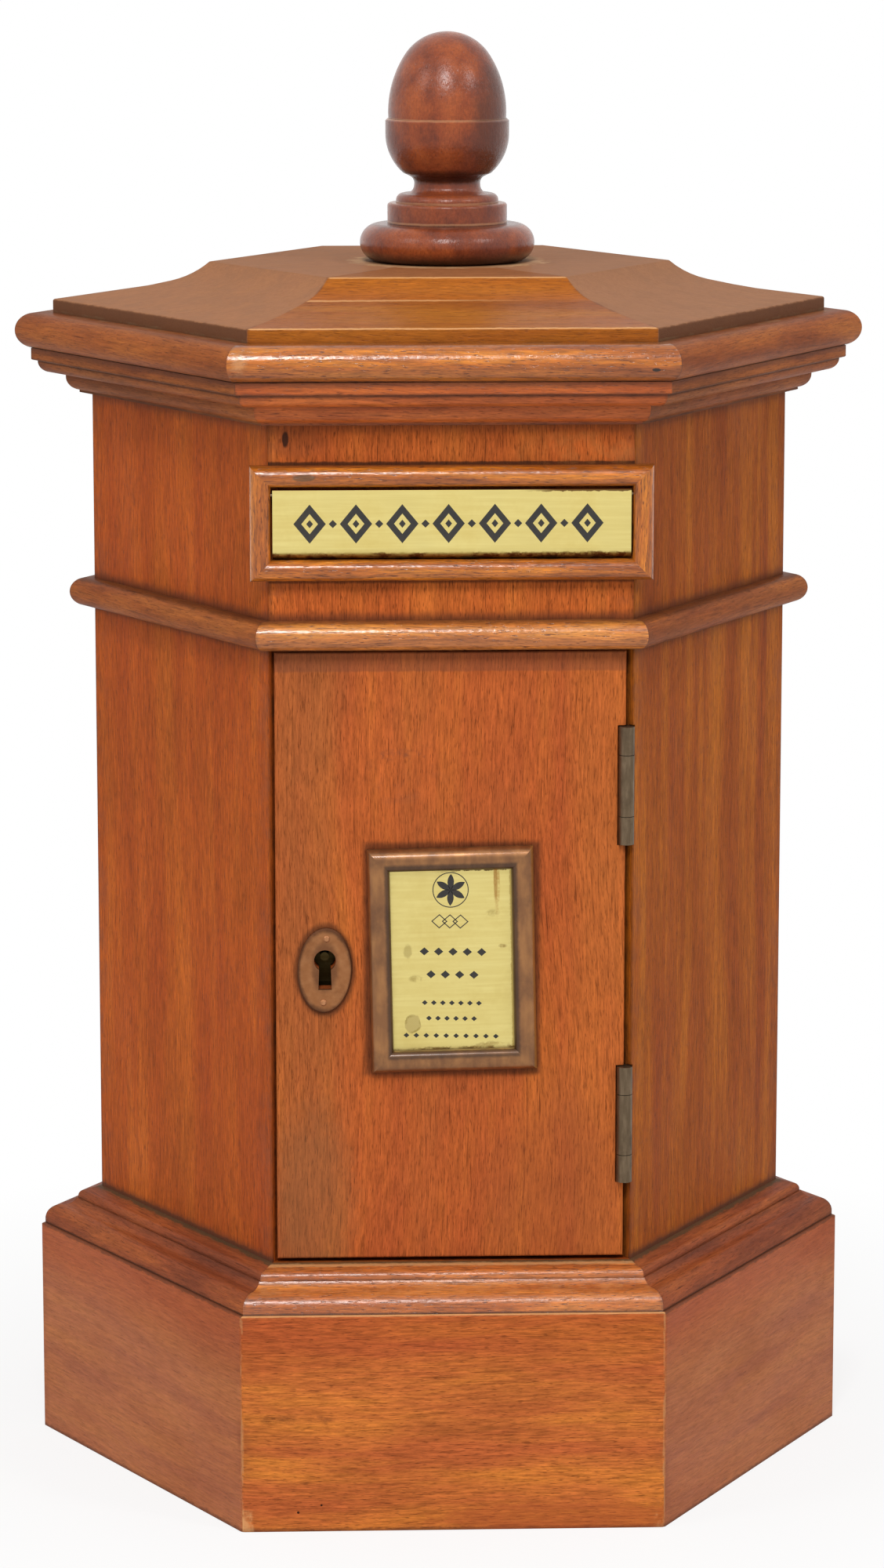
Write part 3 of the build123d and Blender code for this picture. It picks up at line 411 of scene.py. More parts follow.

# the door: bands of redder and yellower wood, scuffs, a painted shade along its top under the belt,
# and grime with a painted shade round the plaque and the escutcheon
doorMarks = onlyOnFace([
    # painted shade: a dark band along the top of the door, under the belt
    line("up", heights["doorTop"], 0.0060, 0.0008, "#7A4630", 0.50, ragged=0.0006),
    line("along", 0.0040, 0.0030, 0.0100, "#A04A26", 0.35, under=True),
    line("along", 0.0330, 0.0050, 0.0090, "#A04A26", 0.30, under=True),
    line("along", 0.0480, 0.0040, 0.0100, "#C07030", 0.30, under=True),
    line("along", -0.0470, 0.0040, 0.0120, "#96582E", 0.45, under=True),
    spotMark((-0.0155, 0.2515), (0.0060, 0.0016), 0.6, "#6E4030", 0.8, ragged=0.9, patchy=True),
    spotMark((-0.0080, 0.2500), (0.0024, 0.0030), 0.6, "#6E4030", 0.6, ragged=0.9, patchy=True),
    spotMark((-0.0170, 0.2440), (0.0090, 0.0050), 1.0, "#7A4630", 0.35, ragged=0.8, patchy=True),
    spotMark((-0.0440, 0.1040), (0.0080, 0.0200), 1.1, "#80583A", 0.30, ragged=0.6),
    spotMark((0.0330, 0.1080), (0.0140, 0.0180), 1.1, "#8E4428", 0.30, ragged=0.6),
    # grime and painted shade: soft dark halos round the plaque and the escutcheon
    spotMark(plaqueMiddle, (0.0272, 0.0371), 0.0022, grimeAndShade, 0.65, "pane", ragged=0.0006),
    spotMark(escutcheonMiddle, (0.0090, 0.0143), 0.16, grimeAndShade, 0.6, ragged=0.06),
])
dress("door_panel", mahogany("mahoganyDoor", doorLook, -90, "up", 9.1, doorMarks))

for index, node in enumerate(("bottom_board", "top_board")):
    dress(node, mahogany("mahoganyInside_" + node, boardLook, -90, "along", 11.0 + index))
dress("flap_board", mahogany("mahoganyFlapBoard", boardLook, -90, "along", 14.0))

# the plinth: long grain, knocked edges, grime under the moulding, redder at the top
plinthMarks = [
    line("up", heights["plinthTop"] - 0.0020, 0.0020, 0.0220, "#A44A26", 0.55, under=True),
    line("mitre", 0.0, 0.0002, 0.0005, paleWearAndHighlight, 0.6, ragged=0.0006, patchy=True),
    # grime and a painted shade along the plinth's foot
    line("up", 0.0, 0.0004, 0.0012, shadeAndGrimeBrown, 0.6, ragged=0.0012),
    line("mitre", 0.0, 0.0002, 0.0050, "#84462C", 0.4, patchy=True),
]
sidePlinthMarks = plinthMarks + [
    line("up", heights["plinthTop"], 0.0003, 0.0006, "#523424", 0.65, ragged=0.0008),
]
frontPlinthMarks = plinthMarks + [
    line("up", heights["plinthTop"], 0.0001, 0.0004, paleWearAndHighlight, 0.75, ragged=0.0002),
    spotMark((-0.0502, 0.0064), (0.00035, 0.00035), 0.4, "#1E120D", 0.95),
    spotMark((-0.0427, 0.0088), (0.00030, 0.00030), 0.4, "#1E120D", 0.95),
    spotMark((0.0100, 0.0340), (0.0500, 0.0014), 1.0, "#9A5426", 0.5, ragged=0.8, patchy=True),
    spotMark((0.0350, 0.0040), (0.0300, 0.0040), 0.6, "#A04E2A", 0.5, ragged=0.5),
    spotMark((-0.0500, 0.0375), (0.0070, 0.0010), 1.2, "#4A2A1E", 0.5, ragged=1.2, patchy=True),
    spotMark((-0.0670, 0.0020), (0.0016, 0.0040), 0.8, paleWearAndHighlight, 0.6, ragged=0.8, patchy=True),
    spotMark((0.0672, 0.0030), (0.0014, 0.0034), 0.8, paleWearAndHighlight, 0.5, ragged=0.8, patchy=True),
]

# the mouldings: grime in their grooves, at their joints and at their mitres, and a painted shade under what
# overhangs them
mouldingMarks = {
    "base_moulding": [
        line("up", 0.0804, 0.0003, 0.0008, grimeAndShade, 0.25, ragged=0.0006),
        line("up", heights["sill"], 0.0003, 0.0010, "#4A3622", 0.3, ragged=0.0006),
        line("out", caseFace, 0.0012, 0.0007, "#4A3C28", 0.75, ragged=0.0016),
        line("up", heights["plinthTop"], 0.0003, 0.0006, grimeAndShade, 0.75, ragged=0.0003),
    ],
    "belt_moulding": [
        line("up", heights["beltHigh"], 0.0002, 0.0010, grimeAndShade, 0.6, ragged=0.0006),
        line("up", heights["beltLow"], 0.0002, 0.0010, grimeAndShade, 0.6, ragged=0.0006),
    ],
    "crown_moulding": [
        # painted shade under the bead's overhang
        line("up", heights["caseTop"], 0.0010, 0.0012, shadeAndGrimeBrown, 0.45, ragged=0.0006),
        line("up", 0.3680, 0.0003, 0.0007, grimeAndShade, 0.55, ragged=0.0004),
        line("up", heights["crownLow"], 0.0002, 0.0008, grimeAndShade, 0.5),
    ],
    "bead_moulding": [
        # painted shade under the roof's edge
        line("up", heights["beadTop"], 0.0001, 0.0010, shadeAndGrimeBrown, 0.4),
        line("out", 0.1130, 0.0012, 0.0012, "#8E6E50", 0.55, ragged=0.0012, patchy=True),
        line("up", heights["caseTop"], 0.0002, 0.0009, grimeAndShade, 0.7),
    ],
}
mitreMarks = [
    line("mitre", 0.0, 0.0001, 0.0007, grimeAndShade, 0.5, ragged=0.0005, patchy=True),
    line("mitre", 0.0, 0.001, 0.009, "#70402A", 0.3, patchy=True),
]
frontMarks = {  # what only the front lengths have
    "base_moulding": [
        # painted highlights, with some wear, along two arrises of the front base moulding
        line("up", 0.0844, 0.0001, 0.0003, paleWearAndHighlight, 0.45, ragged=0.0003),
        line("up", 0.0785, 0.0003, 0.0008, "#D08A50", 0.45, ragged=0.0005, patchy=True),
    ],
    "belt_moulding": [],
    "crown_moulding": [],
    "bead_moulding": [
        spotMark((-0.0690, 0.3785), (0.0030, 0.0030), 0.7, paleWearAndHighlight, 0.35, ragged=0.9, patchy=True),
        spotMark((0.0628, 0.3762), (0.0011, 0.0005), 0.5, "#140C08", 0.95, ragged=0.7),
        # painted shade: the underside of the front bead is darker
        line("up", 0.3745, 0.0012, 0.0030, "#8A4A1E", 0.5, under=True),
        line(
            "up", heights["caseTop"], 0.0003, 0.0004, "#140A06", 0.9, ragged=0.0005,
            within={"along": (-0.010, -0.030)},
        ),
    ],
}
litFrontWood = {  # the front lengths are painted brighter than the sides, as lit copies, each its own colour
    "base_moulding": dict(
        mouldingLook, light="#CC7C38", middle="#BC6A30", dark="#A65828", coat=1.0, coatRoughness=0.25,
        ripple=0.00006,
    ),
    "belt_moulding": dict(mouldingLook, light="#D0863C", middle="#BC7032", dark="#A05C2A"),
    "crown_moulding": dict(
        mouldingLook, light="#C4682E", middle="#B45A28", dark="#9E4A22", coat=0.3, figureWidth=0.008,
        grain=0.4, pores=0.6,
    ),
    "bead_moulding": mouldingLook,
}
for index, (side, angle) in enumerate(sideAngles.items()):
    seed = 20.0 + index
    front = side == "front"
    # each side length takes a darker copy of the front's wood: a painted shade
    look = plinthLook if front else dullShadedPlinthLook
    marks = frontPlinthMarks if front else sidePlinthMarks
    dress("plinth_" + side, mahogany("mahoganyPlinth_" + side, look, angle, "along", seed, marks))
    for group, groupMarks in mouldingMarks.items():
        seed += 9.7
        look = redShadedMouldingLook if group == "base_moulding" else dullShadedMouldingLook
        marks = groupMarks + mitreMarks
        if front:
            look = litFrontWood[group]
            marks = marks + frontMarks[group]
        material = mahogany("mahogany_" + group + "_" + side, look, angle, "along", seed, marks)
        dress(group + "_" + side, material)

# the flap's frame: its side strips are cut from upright grain
frameMarks = [
    line("up", heights["frameHigh"], 0.0001, 0.0007, grimeAndShade, 0.5),
    line("up", heights["frameLow"], 0.0001, 0.0007, grimeAndShade, 0.5),
]
topFrameMark = spotMark((-0.0466, 0.3410), (0.0030, 0.0009), 0.4, "#4A3A20", 0.7, ragged=0.3)
frameGrain = {"top": "along", "bottom": "along", "left": "up", "right": "up"}
for index, (place, grain) in enumerate(frameGrain.items()):
    marks = frameMarks + [topFrameMark] if place == "top" else frameMarks
    material = mahogany("mahoganyFrame_" + place, mouldingLook, -90, grain, 70.0 + index, marks)
    dress("flap_frame_" + place, material)

# the roof: its flat and five of its faces are dull and dusty, with a grey sheen painted in; the front face
# is brighter
onFront = {"mitre": (-0.0002, 0.0006)}
offFront = {"mitre": (0.0004, -0.0004)}
dustRing = spotMark(
    (finialMiddle[0], 0.0), (0.0285, 0.0285), 0.10, "#C49A70", 0.9, "ring", half=0.10,
    upward="out", ragged=0.2,
)
roofMarks = [
    # off the front facet, where the distance to its mitres is below zero, it is dull, dusty and browner,
    # with the grey sheen of lacquer seen at a slant painted into its colour, and darkest at the right
    line("mitre", -0.2003, 0.2000, 0.0006, "#A67250", 0.60, under=True, rough=0.85),
    line("mitre", -0.2003, 0.2000, 0.0006, "#A67656", 0.60),
    line("mitre", -0.2003, 0.2000, 0.0006, "#8E664C", 0.30, patchy=True),
    line("out", 0.0, 0.0658, 0.0003, "#96603C", 0.8, under=True, rough=0.9, within={"up": (0.4000, 0.4004)}),
    line("along", 0.1000, 0.0500, 0.0400, "#8A6650", 0.45, under=True, within=offFront),
    # the steep band under the flat is painted a brighter orange
    line("up", 0.3970, 0.0026, 0.0008, "#AC5E1C", 0.6, under=True, within=onFront),
    # painted highlights, with some wear: thin pale lines along the front face's lower edge, top edge and
    # kink
    line("up", 0.3882, 0.0001, 0.00015, paleWearAndHighlight, 0.8, ragged=0.0002, within=onFront),
    line(
        "up", 0.4004, 0.0001, 0.00015, paleWearAndHighlight, 0.7, ragged=0.0002,
        within=dict(onFront, out=(0.0655, 0.0662)),
    ),
    line(
        "up", 0.3941, 0.0001, 0.00015, paleWearAndHighlight, 0.6, ragged=0.0002,
        within=dict(onFront, along=(0.030, -0.010)),
    ),
    line("up", 0.3858, 0.0020, 0.0006, "#54301E", 0.7, ragged=0.0006, within=offFront),
    line("up", 0.3840, 0.0004, 0.0006, "#8E6E50", 0.5, ragged=0.0006, patchy=True, within=offFront),
    # a ring of dust round the finial's foot, and grime along the mitres
    dict(dustRing, strength=0.35),
    dict(dustRing, patchy=True),
    line("mitre", 0.0, 0.0001, 0.0008, shadeAndGrimeBrown, 0.4, patchy=True),
]
dress("roof_block", mahogany("mahoganyRoof", roofLook, -90, "along", 80.0, roofMarks))

# the finial: dark in its grooves, with a painted shade in its neck and down the right of the acorn, and pale
# on its sharp edges
finialFoot = heights["roofTop"]
turnedMarks = [
    line("up", finialFoot, 0.0015, 0.0035, grimeAndShade, 0.7, ragged=0.0008),
    line("up", finialFoot + 0.0125, 0.0002, 0.0005, "#2A140C", 0.4),
    line("up", finialFoot + 0.0131, 0.0002, 0.0003, "#C08A62", 0.6, ragged=0.0002),
    # painted shade in the neck under the acorn
    line("up", finialFoot + 0.0282, 0.0010, 0.0022, "#1E100A", 0.75, ragged=0.0008),
    line("up", finialFoot + 0.0470, 0.0002, 0.0003, "#C08A62", 0.55, ragged=0.0002),
    line("up", finialFoot + 0.0196, 0.0002, 0.0003, "#C08A62", 0.55, ragged=0.0003),
    # patina and a painted shade down the right side of the acorn
    spotMark((0.0210, 0.4450), (0.0070, 0.0150), 0.9, "#4A281C", 0.65, ragged=0.5),
]
dress("finial", mahogany("mahoganyTurned", turnedLook, -90, "up", 90.0, turnedMarks))
print("mahogany laid on")


def metal(name, look, streaks, marks=(), turned=None):
    # a worn metal: streaks are the real sizes in metres of its rubbing marks, along X, Z and Y;
    # turned is the place along and up that the piece stands turned about, and its angle
    material, tree = newMaterial(name)
    axes = sideAxes(tree, -90)
    spot = addNode(tree, "CombineXYZ", {"X": axes["along"], "Y": axes["up"], "Z": axes["out"]})
    if turned:
        along, up, angle = turned
        spot = addNode(tree, "VectorRotate", {"Vector": spot, "Center": (along, up, 0), "Angle": -angle})
        flat = addNode(tree, "SeparateXYZ", {"Vector": spot})
        axes = dict(axes, along=flat.outputs["X"], up=flat.outputs["Y"])
    rub = addNode(tree, "Mapping", {"Vector": spot, "Scale": tuple(1 / size for size in streaks)})
    rub = addNode(tree, "TexNoise", {"Vector": rub, "Scale": 1.0, "Detail": 3.0})
    cloud = addNode(tree, "TexNoise", {
        "Vector": spot, "Scale": look["cloudScale"], "Detail": 4.0, "Roughness": 0.65,
    })
    ragged = addNode(tree, "TexNoise", {"Vector": spot, "Scale": 420.0, "Detail": 3.0, "Roughness": 0.7})
    patches = addNode(tree, "TexNoise", {"Vector": spot, "Scale": 210.0, "Detail": 4.0, "Roughness": 0.7})
    patches = addNode(tree, "MapRange", {"Value": patches, "From Min": 0.46, "From Max": 0.60})
    rubMask = addNode(tree, "MapRange", {"Value": rub, "From Min": 0.4, "From Max": 0.7})
    shades = {0: rubMask, 6: linear(look["middle"]), 7: linear(look["light"])}
    colour = addNode(tree, "Mix", shades, data_type="RGBA")
    cloudMask = addNode(tree, "MapRange", {"Value": cloud, "From Min": 0.48, "From Max": 0.72})
    colour = stain(tree, colour, cloudMask, look["tarnish"], look["tarnishAmount"])
    for mark in marks:
        mask = markMask(tree, axes, mark, ragged.outputs["Fac"], patches)
        colour = stain(tree, colour, mask, mark["hex"], mark["strength"])
    gloss = addNode(tree, "MapRange", {
        "Value": cloud, "From Min": 0.3, "From Max": 0.7,
        "To Min": look["roughness"] - 0.05, "To Max": look["roughness"] + 0.12,
    })
    height = addNode(tree, "Math", {0: rub, 1: look["scratch"]}, operation="MULTIPLY")
    bump = addNode(tree, "Bump", {"Height": height, "Distance": 1.0, "Strength": 1.0})
    shader = addNode(tree, "BsdfPrincipled", {
        "Base Color": colour, "Metallic": look["metallic"], "Roughness": gloss, "Normal": bump,
        "Coat Weight": look["coat"], "Coat Roughness": 0.12,
    })
    addNode(tree, "OutputMaterial", {"Surface": shader})
    return material


# thin rolled brass sheet, lacquered long ago: pale yellow with faint level streaks, brown where it is
# handled
paleBrass = {
    "light": "#E3D288", "middle": "#DCC97E", "tarnish": "#BFA85E", "tarnishAmount": 0.35, "cloudScale": 60.0,
    "roughness": 0.38, "metallic": 1.0, "scratch": 0.0000015, "coat": 0.0,
}
flapLow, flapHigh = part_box("flap_plate")
flapMarks = [
    # along the bottom edge: tarnish and a painted shade where the sheet curls back, and rust brown in
    # patches
    line("up", flapLow.z, 0.0016, 0.0010, "#8E7630", 0.7, ragged=0.0006),
    line("up", flapLow.z, 0.0020, 0.0004, "#5A2E14", 0.9, ragged=0.0016, patchy=True),
    line("up", flapHigh.z, 0.0004, 0.0002, "#5A3418", 0.9, ragged=0.0007, within={"along": (0.020, 0.034)}),
]
dress("flap_plate", metal("paleRolledBrass", paleBrass, (0.030, 0.0012, 0.01), flapMarks))

# the same brass in the plaque: brown along its edges, with a dull round mark and a coppery streak
plaqueTurn = (*plaqueMiddle, plaqueTilt)
plateMarks = [
    line(
        "up", plaqueMiddle[1] + 0.0293, 0.0004, 0.0003, "#4A2C16", 0.95, ragged=0.0012,
        within={"along": (-0.006, 0.006)},
    ),
    line("up", plaqueMiddle[1] - 0.0292, 0.0004, 0.0003, "#6E4E22", 0.85, ragged=0.0014, patchy=True),
    line("along", plaqueMiddle[0] + 0.0194, 0.0003, 0.0004, "#9A7A34", 0.6, ragged=0.0006),
    spotMark((0.0160, 0.1890), (0.0012, 0.0005), 0.8, "#8A6A34", 0.7, ragged=0.9, patchy=True),
    spotMark((-0.0115, 0.1790), (0.0016, 0.0008), 0.8, "#A08A4C", 0.6, ragged=0.9, patchy=True),
    spotMark((0.0135, 0.2000), (0.0016, 0.0008), 0.8, "#A08A4C", 0.5, ragged=0.9, patchy=True),
    spotMark((0.0130, 0.1562), (0.0060, 0.0012), 0.5, "#8A6830", 0.6, ragged=1.2, patchy=True),
    spotMark((-0.0129, 0.1643), (0.0024, 0.0028), 0.15, "#B8A468", 0.8, ragged=0.3),
    spotMark(
        (-0.0129, 0.1643), (0.0024, 0.0028), 0.12, "#94803E", 0.6, "ring", half=0.06, ragged=0.3,
        patchy=True,
    ),
    spotMark((0.0150, 0.2090), (0.0007, 0.0068), 0.8, "#A8702A", 0.6, ragged=0.9, patchy=True),
    spotMark((0.0146, 0.2105), (0.0004, 0.0046), 0.8, "#9A6424", 0.6, ragged=0.8),
    spotMark((-0.0140, 0.1880), (0.0010, 0.0016), 0.6, "#A08C50", 0.5, ragged=0.6),
]
dress("plaque_plate", metal("paleEngravedBrass", paleBrass, (0.020, 0.0012, 0.01), plateMarks, plaqueTurn))

# brass aged to a brown skin under old wax: half matt, with a soft shine along its edges
agedBrass = {
    "light": "#A06E40", "middle": "#845834", "tarnish": "#5A3A26", "tarnishAmount": 0.6, "cloudScale": 90.0,
    "roughness": 0.42, "metallic": 0.75, "scratch": 0.000006, "coat": 0.35,
}
plaqueFrameMarks = [  # rubbed back to yellow at its right edge, and near black with grime and a painted shade where it meets the plate
    line("along", 0.0268, 0.0004, 0.0008, "#B08A44", 0.5, ragged=0.0004),
    spotMark(plaqueMiddle, (0.0206, 0.0311), 0.0012, "#34241A", 0.75, "pane", ragged=0.0004),
]
dress("plaque_frame", metal("agedBrass", agedBrass, (0.003, 0.009, 0.003), plaqueFrameMarks, plaqueTurn))

# brass that handling has turned copper brown: warm and dull, with even fine rubbing
copperBrown = {
    "light": "#A26E46", "middle": "#94603A", "tarnish": "#744A2E", "tarnishAmount": 0.5, "cloudScale": 160.0,
    "roughness": 0.45, "metallic": 0.85, "scratch": 0.000003, "coat": 0.0,
}
keyholeMiddle = (escutcheonMiddle[0], escutcheonMiddle[1] + 0.0013)
escutcheonMarks = [  # darker towards its rim and round the keyhole
    spotMark(escutcheonMiddle, (0.0090, 0.0140), 0.14, "#4E3020", 0.85, "ring", half=0.03, ragged=0.06),
    spotMark(keyholeMiddle, (0.0034, 0.0064), 0.50, "#523424", 0.55, ragged=0.2),
]
dress("escutcheon", metal("copperBrownBrass", copperBrown, (0.003, 0.003, 0.003), escutcheonMarks))
dress("escutcheon_pins", metal("copperPins", dict(copperBrown, middle="#B57F58"), (0.001, 0.001, 0.001)))

# steel gone dark with age and oil: brownish grey with a low, broken shine
darkSteel = {
    "light": "#76644F", "middle": "#62523F", "tarnish": "#483A2C", "tarnishAmount": 0.5, "cloudScale": 160.0,
    "roughness": 0.42, "metallic": 0.9, "scratch": 0.000005, "coat": 0.0,
}
steel = metal("darkenedSteel", darkSteel, (0.0012, 0.006, 0.0012))
for node in (
    "upper_hinge_frame_leaf", "upper_hinge_door_leaf", "lower_hinge_frame_leaf", "lower_hinge_door_leaf",
    "frame_hinge_screws", "door_screws", "flap_pins",
):
    dress(node, steel)

# unlacquered lock brass: darker and rougher than the plates, with fine level streaks
lockBrass = dict(paleBrass, light="#C8AE6A", middle="#B0924E", tarnish="#7A5E30", roughness=0.45)
lockBack = -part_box("lock_case")[1].y
lockHolePaintedShade = [  # behind the keyhole the lock is painted black as the shade in the hole, but its inner face isn't
    spotMark(
        escutcheonMiddle, (0.0060, 0.0090), 0.3, "#1C120C", 0.9,
        within={"out": (lockBack + 0.0002, lockBack + 0.0004)},
    ),
]
for node in ("lock_case", "lock_bolt"):
    dress(node, metal("plainLockBrass_" + node, lockBrass, (0.012, 0.0008, 0.01), lockHolePaintedShade))
print("metals laid on")

# black enamel in the cut lines of both plates, a hair proud of them: satin black, worn a little brown
enamel = {
    "light": "#24211D", "middle": "#1C1A17", "tarnish": "#3A3020", "tarnishAmount": 0.4, "cloudScale": 300.0,
    "roughness": 0.5, "metallic": 0.0, "scratch": 0.000002, "coat": 0.0,
}
blackEnamel = metal("blackEnamel", enamel, (0.002, 0.002, 0.002))
inlayDepth = 0.00004


def standUp(shape, made, place):
    # turns flat points up to face the front, and moves them to a place along and up
    bmesh.ops.rotate(shape, verts=made, matrix=Matrix.Rotation(math.pi / 2, 3, "X"))
    bmesh.ops.translate(shape, verts=made, vec=(place[0], 0, place[1]))


def addShape(shape, corners, radius, place, stretch=(1, 1), stroke=0.0):
    # a flat figure on the front: a filled one, or with a stroke only its outline; place is along and up
    made = bmesh.ops.create_circle(shape, cap_ends=True, segments=corners, radius=radius)["verts"]
    bmesh.ops.scale(shape, verts=made, vec=(*stretch, 1))
    if stroke:
        faces = list({face for vert in made for face in vert.link_faces})
        rim = bmesh.ops.inset_region(
            shape, faces=faces, thickness=stroke, use_boundary=True, use_even_offset=True
        )["faces"]
        made = list({vert for face in rim + faces for vert in face.verts})
        bmesh.ops.delete(shape, geom=faces, context="FACES_ONLY")
    standUp(shape, made, place)


def addPetal(shape, length, place, turn):
    # a pointed leaf between two stretched arcs, one end on the place
    for side in (1, -1):
        made = bmesh.ops.create_circle(shape, cap_ends=True, segments=96, radius=length)["verts"]
        low = (length / 2, -side * length * math.cos(math.radians(30)), 0)
        bmesh.ops.translate(shape, verts=made, vec=low)
        geom = made + list({edge for vert in made for edge in vert.link_edges})
        geom += list({face for vert in made for face in vert.link_faces})
        cut = bmesh.ops.bisect_plane(
            shape, geom=geom, plane_co=(0, 0, 0), plane_no=(0, side, 0), clear_inner=True
        )["geom"]
        made = [part for part in cut if isinstance(part, bmesh.types.BMVert)]
        bmesh.ops.scale(shape, verts=made, vec=(1, 1.5, 1))
        bmesh.ops.rotate(shape, verts=made, matrix=Matrix.Rotation(turn, 3, "Z"))
        standUp(shape, made, place)


def finishInlay(shape, name, front, body, tilt=None):
    # thickens the flat figures to a film of enamel on the plate, and hands the piece over
    bmesh.ops.remove_doubles(shape, verts=shape.verts, dist=1e-6)
    bmesh.ops.recalc_face_normals(shape, faces=shape.faces)
    grown = bmesh.ops.extrude_face_region(shape, geom=shape.faces)["geom"]
    raised = [part for part in grown if isinstance(part, bmesh.types.BMVert)]
    bmesh.ops.translate(shape, verts=raised, vec=(0, -inlayDepth, 0))
    bmesh.ops.recalc_face_normals(shape, faces=shape.faces)
    if tilt:
        along, up, angle = tilt
        turn = Matrix.Rotation(angle, 3, "Y")
        bmesh.ops.rotate(shape, verts=shape.verts, cent=(along, 0, up), matrix=turn)
    bmesh.ops.translate(shape, verts=shape.verts, vec=(0, front, 0))
    mesh = bpy.data.meshes.new(name)
    shape.to_mesh(mesh)
    shape.free()
    mesh.materials.append(blackEnamel)
    piece = bpy.data.objects.new(name, mesh)
    scene.collection.objects.link(piece)
    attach(piece, body)


flapBand = {
    "lozenges": 7, "pitch": 0.0146, "height": 0.0124, "width": 0.0102, "stroke": 0.0019, "dot": 0.0013,
    "offCentre": (-0.0011, 0.0004),
}


def makeFlapBand():
    # a plain border of lozenges and dots along the flap
    shape = bmesh.new()
    up = (flapLow.z + flapHigh.z) / 2 + flapBand["offCentre"][1]
    middle = (flapLow.x + flapHigh.x) / 2 + flapBand["offCentre"][0]
    for index in range(flapBand["lozenges"]):
        along = middle + (index - (flapBand["lozenges"] - 1) / 2) * flapBand["pitch"]
        stretch = (flapBand["width"] / flapBand["height"], 1)
        addShape(shape, 4, flapBand["height"] / 2, (along, up), stretch, flapBand["stroke"])
        addShape(shape, 4, flapBand["dot"], (along, up), stretch)
        if index:
            addShape(shape, 4, flapBand["dot"], (along - flapBand["pitch"] / 2, up))
    finishInlay(shape, "flap_border_inlay", flapLow.y, "flap")


plaqueDesign = {  # a row is its height, and the count, pitch and size of its lozenges
    "offCentre": -0.0010, "rosette": 0.2078, "petals": 6, "rosetteRadius": 0.0052, "ring": 0.0003,
    "links": 0.1975, "linkRadius": 0.0026, "linkPitch": 0.00338, "linkStretch": (1, 0.9),
    "rows": {
        0.1876: (5, 0.0046, 0.0013),
        0.1801: (4, 0.0046, 0.0013),
        0.1708: (7, 0.0029, 0.0008),
        0.1657: (6, 0.0029, 0.0008),
        0.1600: (10, 0.0032, 0.0008),
    },
    "rowShift": 0.0012, "rowStretch": (1.15, 1),
}


def makePlaqueDesign():
    # a rosette of petals in a ring, three linked lozenges, and five rows of small ones
    shape = bmesh.new()
    design = plaqueDesign
    along, radius, stroke = plaqueMiddle[0] + design["offCentre"], design["rosetteRadius"], design["ring"]
    for index in range(design["petals"]):
        turn = index * 2 * math.pi / design["petals"] + math.pi / 6
        addPetal(shape, radius, (along, design["rosette"]), turn)
    addShape(shape, 48, radius + 2 * stroke, (along, design["rosette"]), (1, 1), stroke)
    for side in (-1, 0, 1):
        place = (along + side * design["linkPitch"], design["links"])
        addShape(shape, 4, design["linkRadius"], place, design["linkStretch"], stroke)
    for up, (count, pitch, size) in design["rows"].items():
        for index in range(count):
            place = (along + design["rowShift"] + (index - (count - 1) / 2) * pitch, up)
            addShape(shape, 4, size, place, design["rowStretch"])
    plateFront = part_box("plaque_plate")[0].y
    finishInlay(shape, "plaque_inlay", plateFront, "door", plaqueTurn)


makeFlapBand()
makePlaqueDesign()
print("inlays made")


def seenMask(tree):
    # 1 for what the camera sees, straight or in a shine, and 0 for what only lights the box
    path = addNode(tree, "LightPath")
    seen = addNode(
        tree, "Math", {0: path.outputs["Is Camera Ray"], 1: path.outputs["Is Glossy Ray"]}, operation="ADD"
    )
    last = path.outputs["Is Transmission Ray"]
    return addNode(tree, "Math", {0: seen, 1: last}, operation="ADD", use_clamp=True)


floorCard = {  # white laminated card, seen near white by the camera, with the box's own shadow kept
    "colour": "#F4F3F1",
    "halfSize": 30,
    "under": 0.0001,  # how far it lies below the box, so that no two faces share a place
    "glow": (0.80, 1.0),  # how white the camera sees it near the box and away from it
    "glowFrom": (0.15, 0.36),  # metres from the middle
}


def makeFloor():
    mesh = bpy.data.meshes.new("floor")
    shape = bmesh.new()
    bmesh.ops.create_grid(shape, x_segments=1, y_segments=1, size=floorCard["halfSize"])
    bmesh.ops.translate(shape, verts=shape.verts, vec=(0, 0, -floorCard["under"]))
    shape.to_mesh(mesh)
    shape.free()
    floor = bpy.data.objects.new("floor", mesh)
    scene.collection.objects.link(floor)
    material, tree = newMaterial("whiteCard")
    spot = addNode(tree, "TexCoord").outputs["Object"]
    away = addNode(tree, "VectorMath", {0: spot}, operation="LENGTH").outputs["Value"]
    (fromLow, fromHigh), (glowLow, glowHigh) = floorCard["glowFrom"], floorCard["glow"]
    share = addNode(tree, "MapRange", {
        "Value": away, "From Min": fromLow, "From Max": fromHigh, "To Min": glowLow, "To Max": glowHigh,
    })
    seen = addNode(tree, "Math", {0: seenMask(tree), 1: share}, operation="MULTIPLY", use_clamp=True)
    card = addNode(tree, "BsdfDiffuse", {"Color": linear(floorCard["colour"])})
    glow = addNode(tree, "Emission", {"Color": linear("#FFFFFF"), "Strength": 1.0})
    mixed = addNode(tree, "MixShader", {0: seen, 1: card, 2: glow})
    addNode(tree, "OutputMaterial", {"Surface": mixed})
    mesh.materials.append(material)


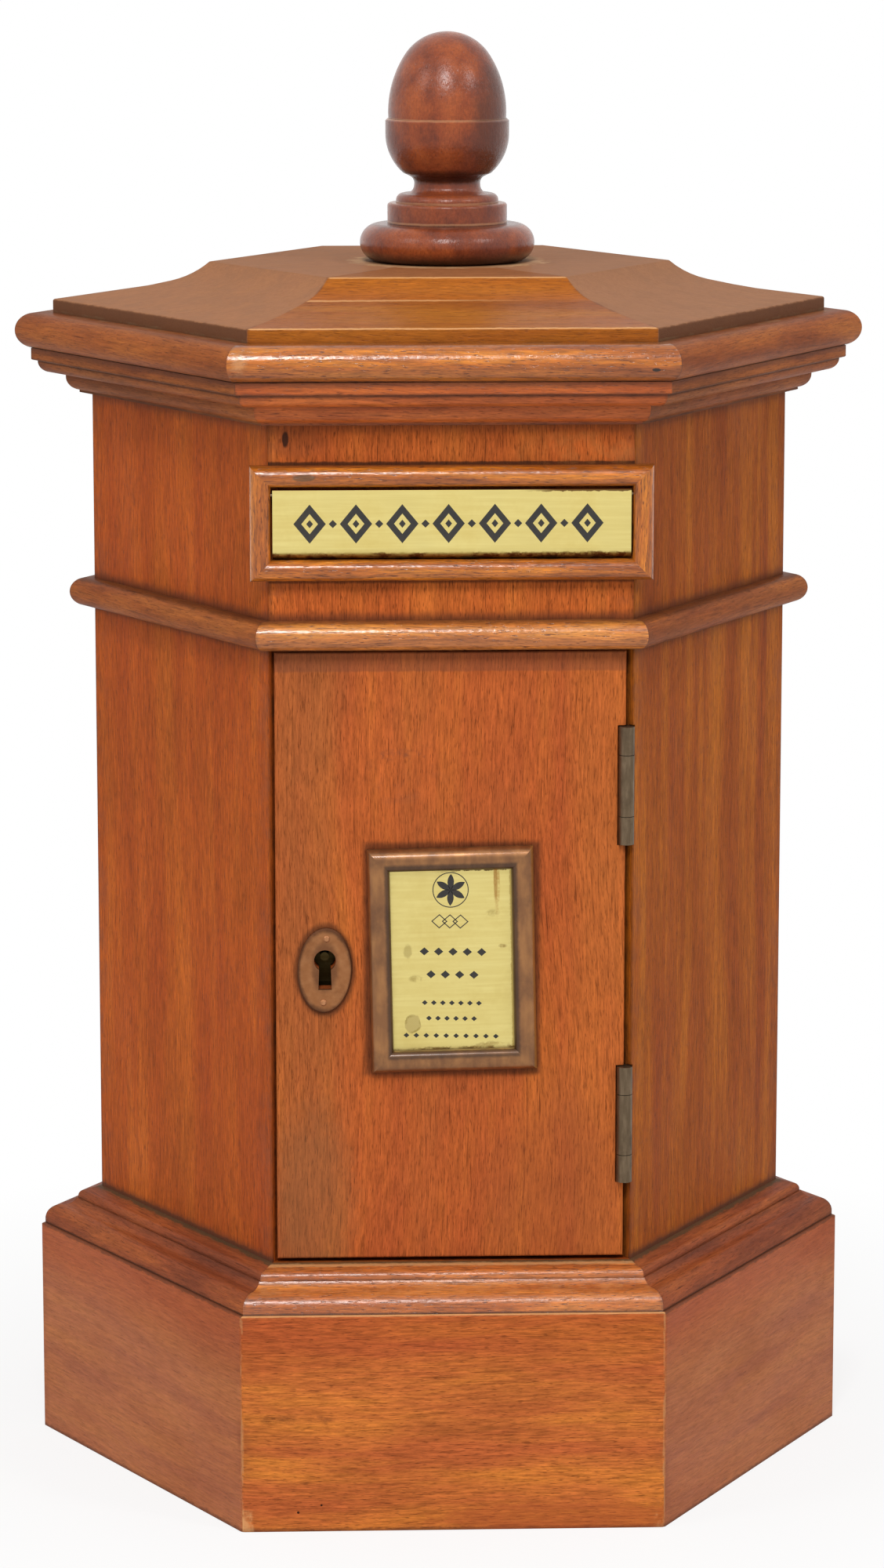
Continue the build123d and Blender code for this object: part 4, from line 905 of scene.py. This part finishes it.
lighting = {
    "world": 0.50,
    "boxes": {  # each soft box: azimuth and elevation in degrees, width and height in metres, power
        "front": (-6, 42, 0.36, 0.42, 17.0),
        "left": (-58, 38, 0.50, 0.50, 3.8),
        "right": (52, 38, 0.30, 0.30, 5.4),
    },
    "distance": 1.9,
    "aimHeight": 0.25,
}


def makeLamps():
    # an even white room that the camera sees as white, and three soft boxes
    world = bpy.data.worlds.new("softStudio")
    scene.world = world
    world.use_nodes = True
    tree = world.node_tree
    tree.nodes.clear()
    limits = {"Value": seenMask(tree), "To Min": lighting["world"], "To Max": 1.0}
    strength = addNode(tree, "MapRange", limits)
    white = addNode(tree, "Background", {"Color": linear("#FFFFFF"), "Strength": strength})
    addNode(tree, "OutputWorld", {"Surface": white})
    for name, (azimuth, elevation, width, height, power) in lighting["boxes"].items():
        lamp = bpy.data.lights.new(name + "Box", "AREA")
        lamp.shape, lamp.size, lamp.size_y, lamp.energy = "RECTANGLE", width, height, power
        box = bpy.data.objects.new(name + "Box", lamp)
        scene.collection.objects.link(box)
        a, e = math.radians(azimuth), math.radians(elevation)
        back = Vector((math.sin(a) * math.cos(e), -math.cos(a) * math.cos(e), math.sin(e)))
        box.location = Vector((0, 0, lighting["aimHeight"])) + back * lighting["distance"]
        box.rotation_euler = back.to_track_quat("Z", "Y").to_euler()


cameraPlace = {  # found from the corners of the box in the photograph; metres, radians and, for lenses, mm
    "at": (-0.06438994, -1.71309964, 0.53656782),
    "downBy": 0.18048152,
    "turnedBy": 0.03802688,
    "lens": 118.19,
    "sensor": 36,
    "clip": (0.01, 100),
}


def makeCamera():
    lens = bpy.data.cameras.new("photoCamera")
    lens.sensor_width = cameraPlace["sensor"]
    lens.lens = cameraPlace["lens"]
    lens.clip_start, lens.clip_end = cameraPlace["clip"]
    camera = bpy.data.objects.new("photoCamera", lens)
    scene.collection.objects.link(camera)
    camera.location = cameraPlace["at"]
    camera.rotation_euler = (math.pi / 2 - cameraPlace["downBy"], 0, -cameraPlace["turnedBy"])
    scene.camera = camera


makeFloor()
makeLamps()
makeCamera()
scene.view_settings.view_transform = "Standard"
print("stage set")
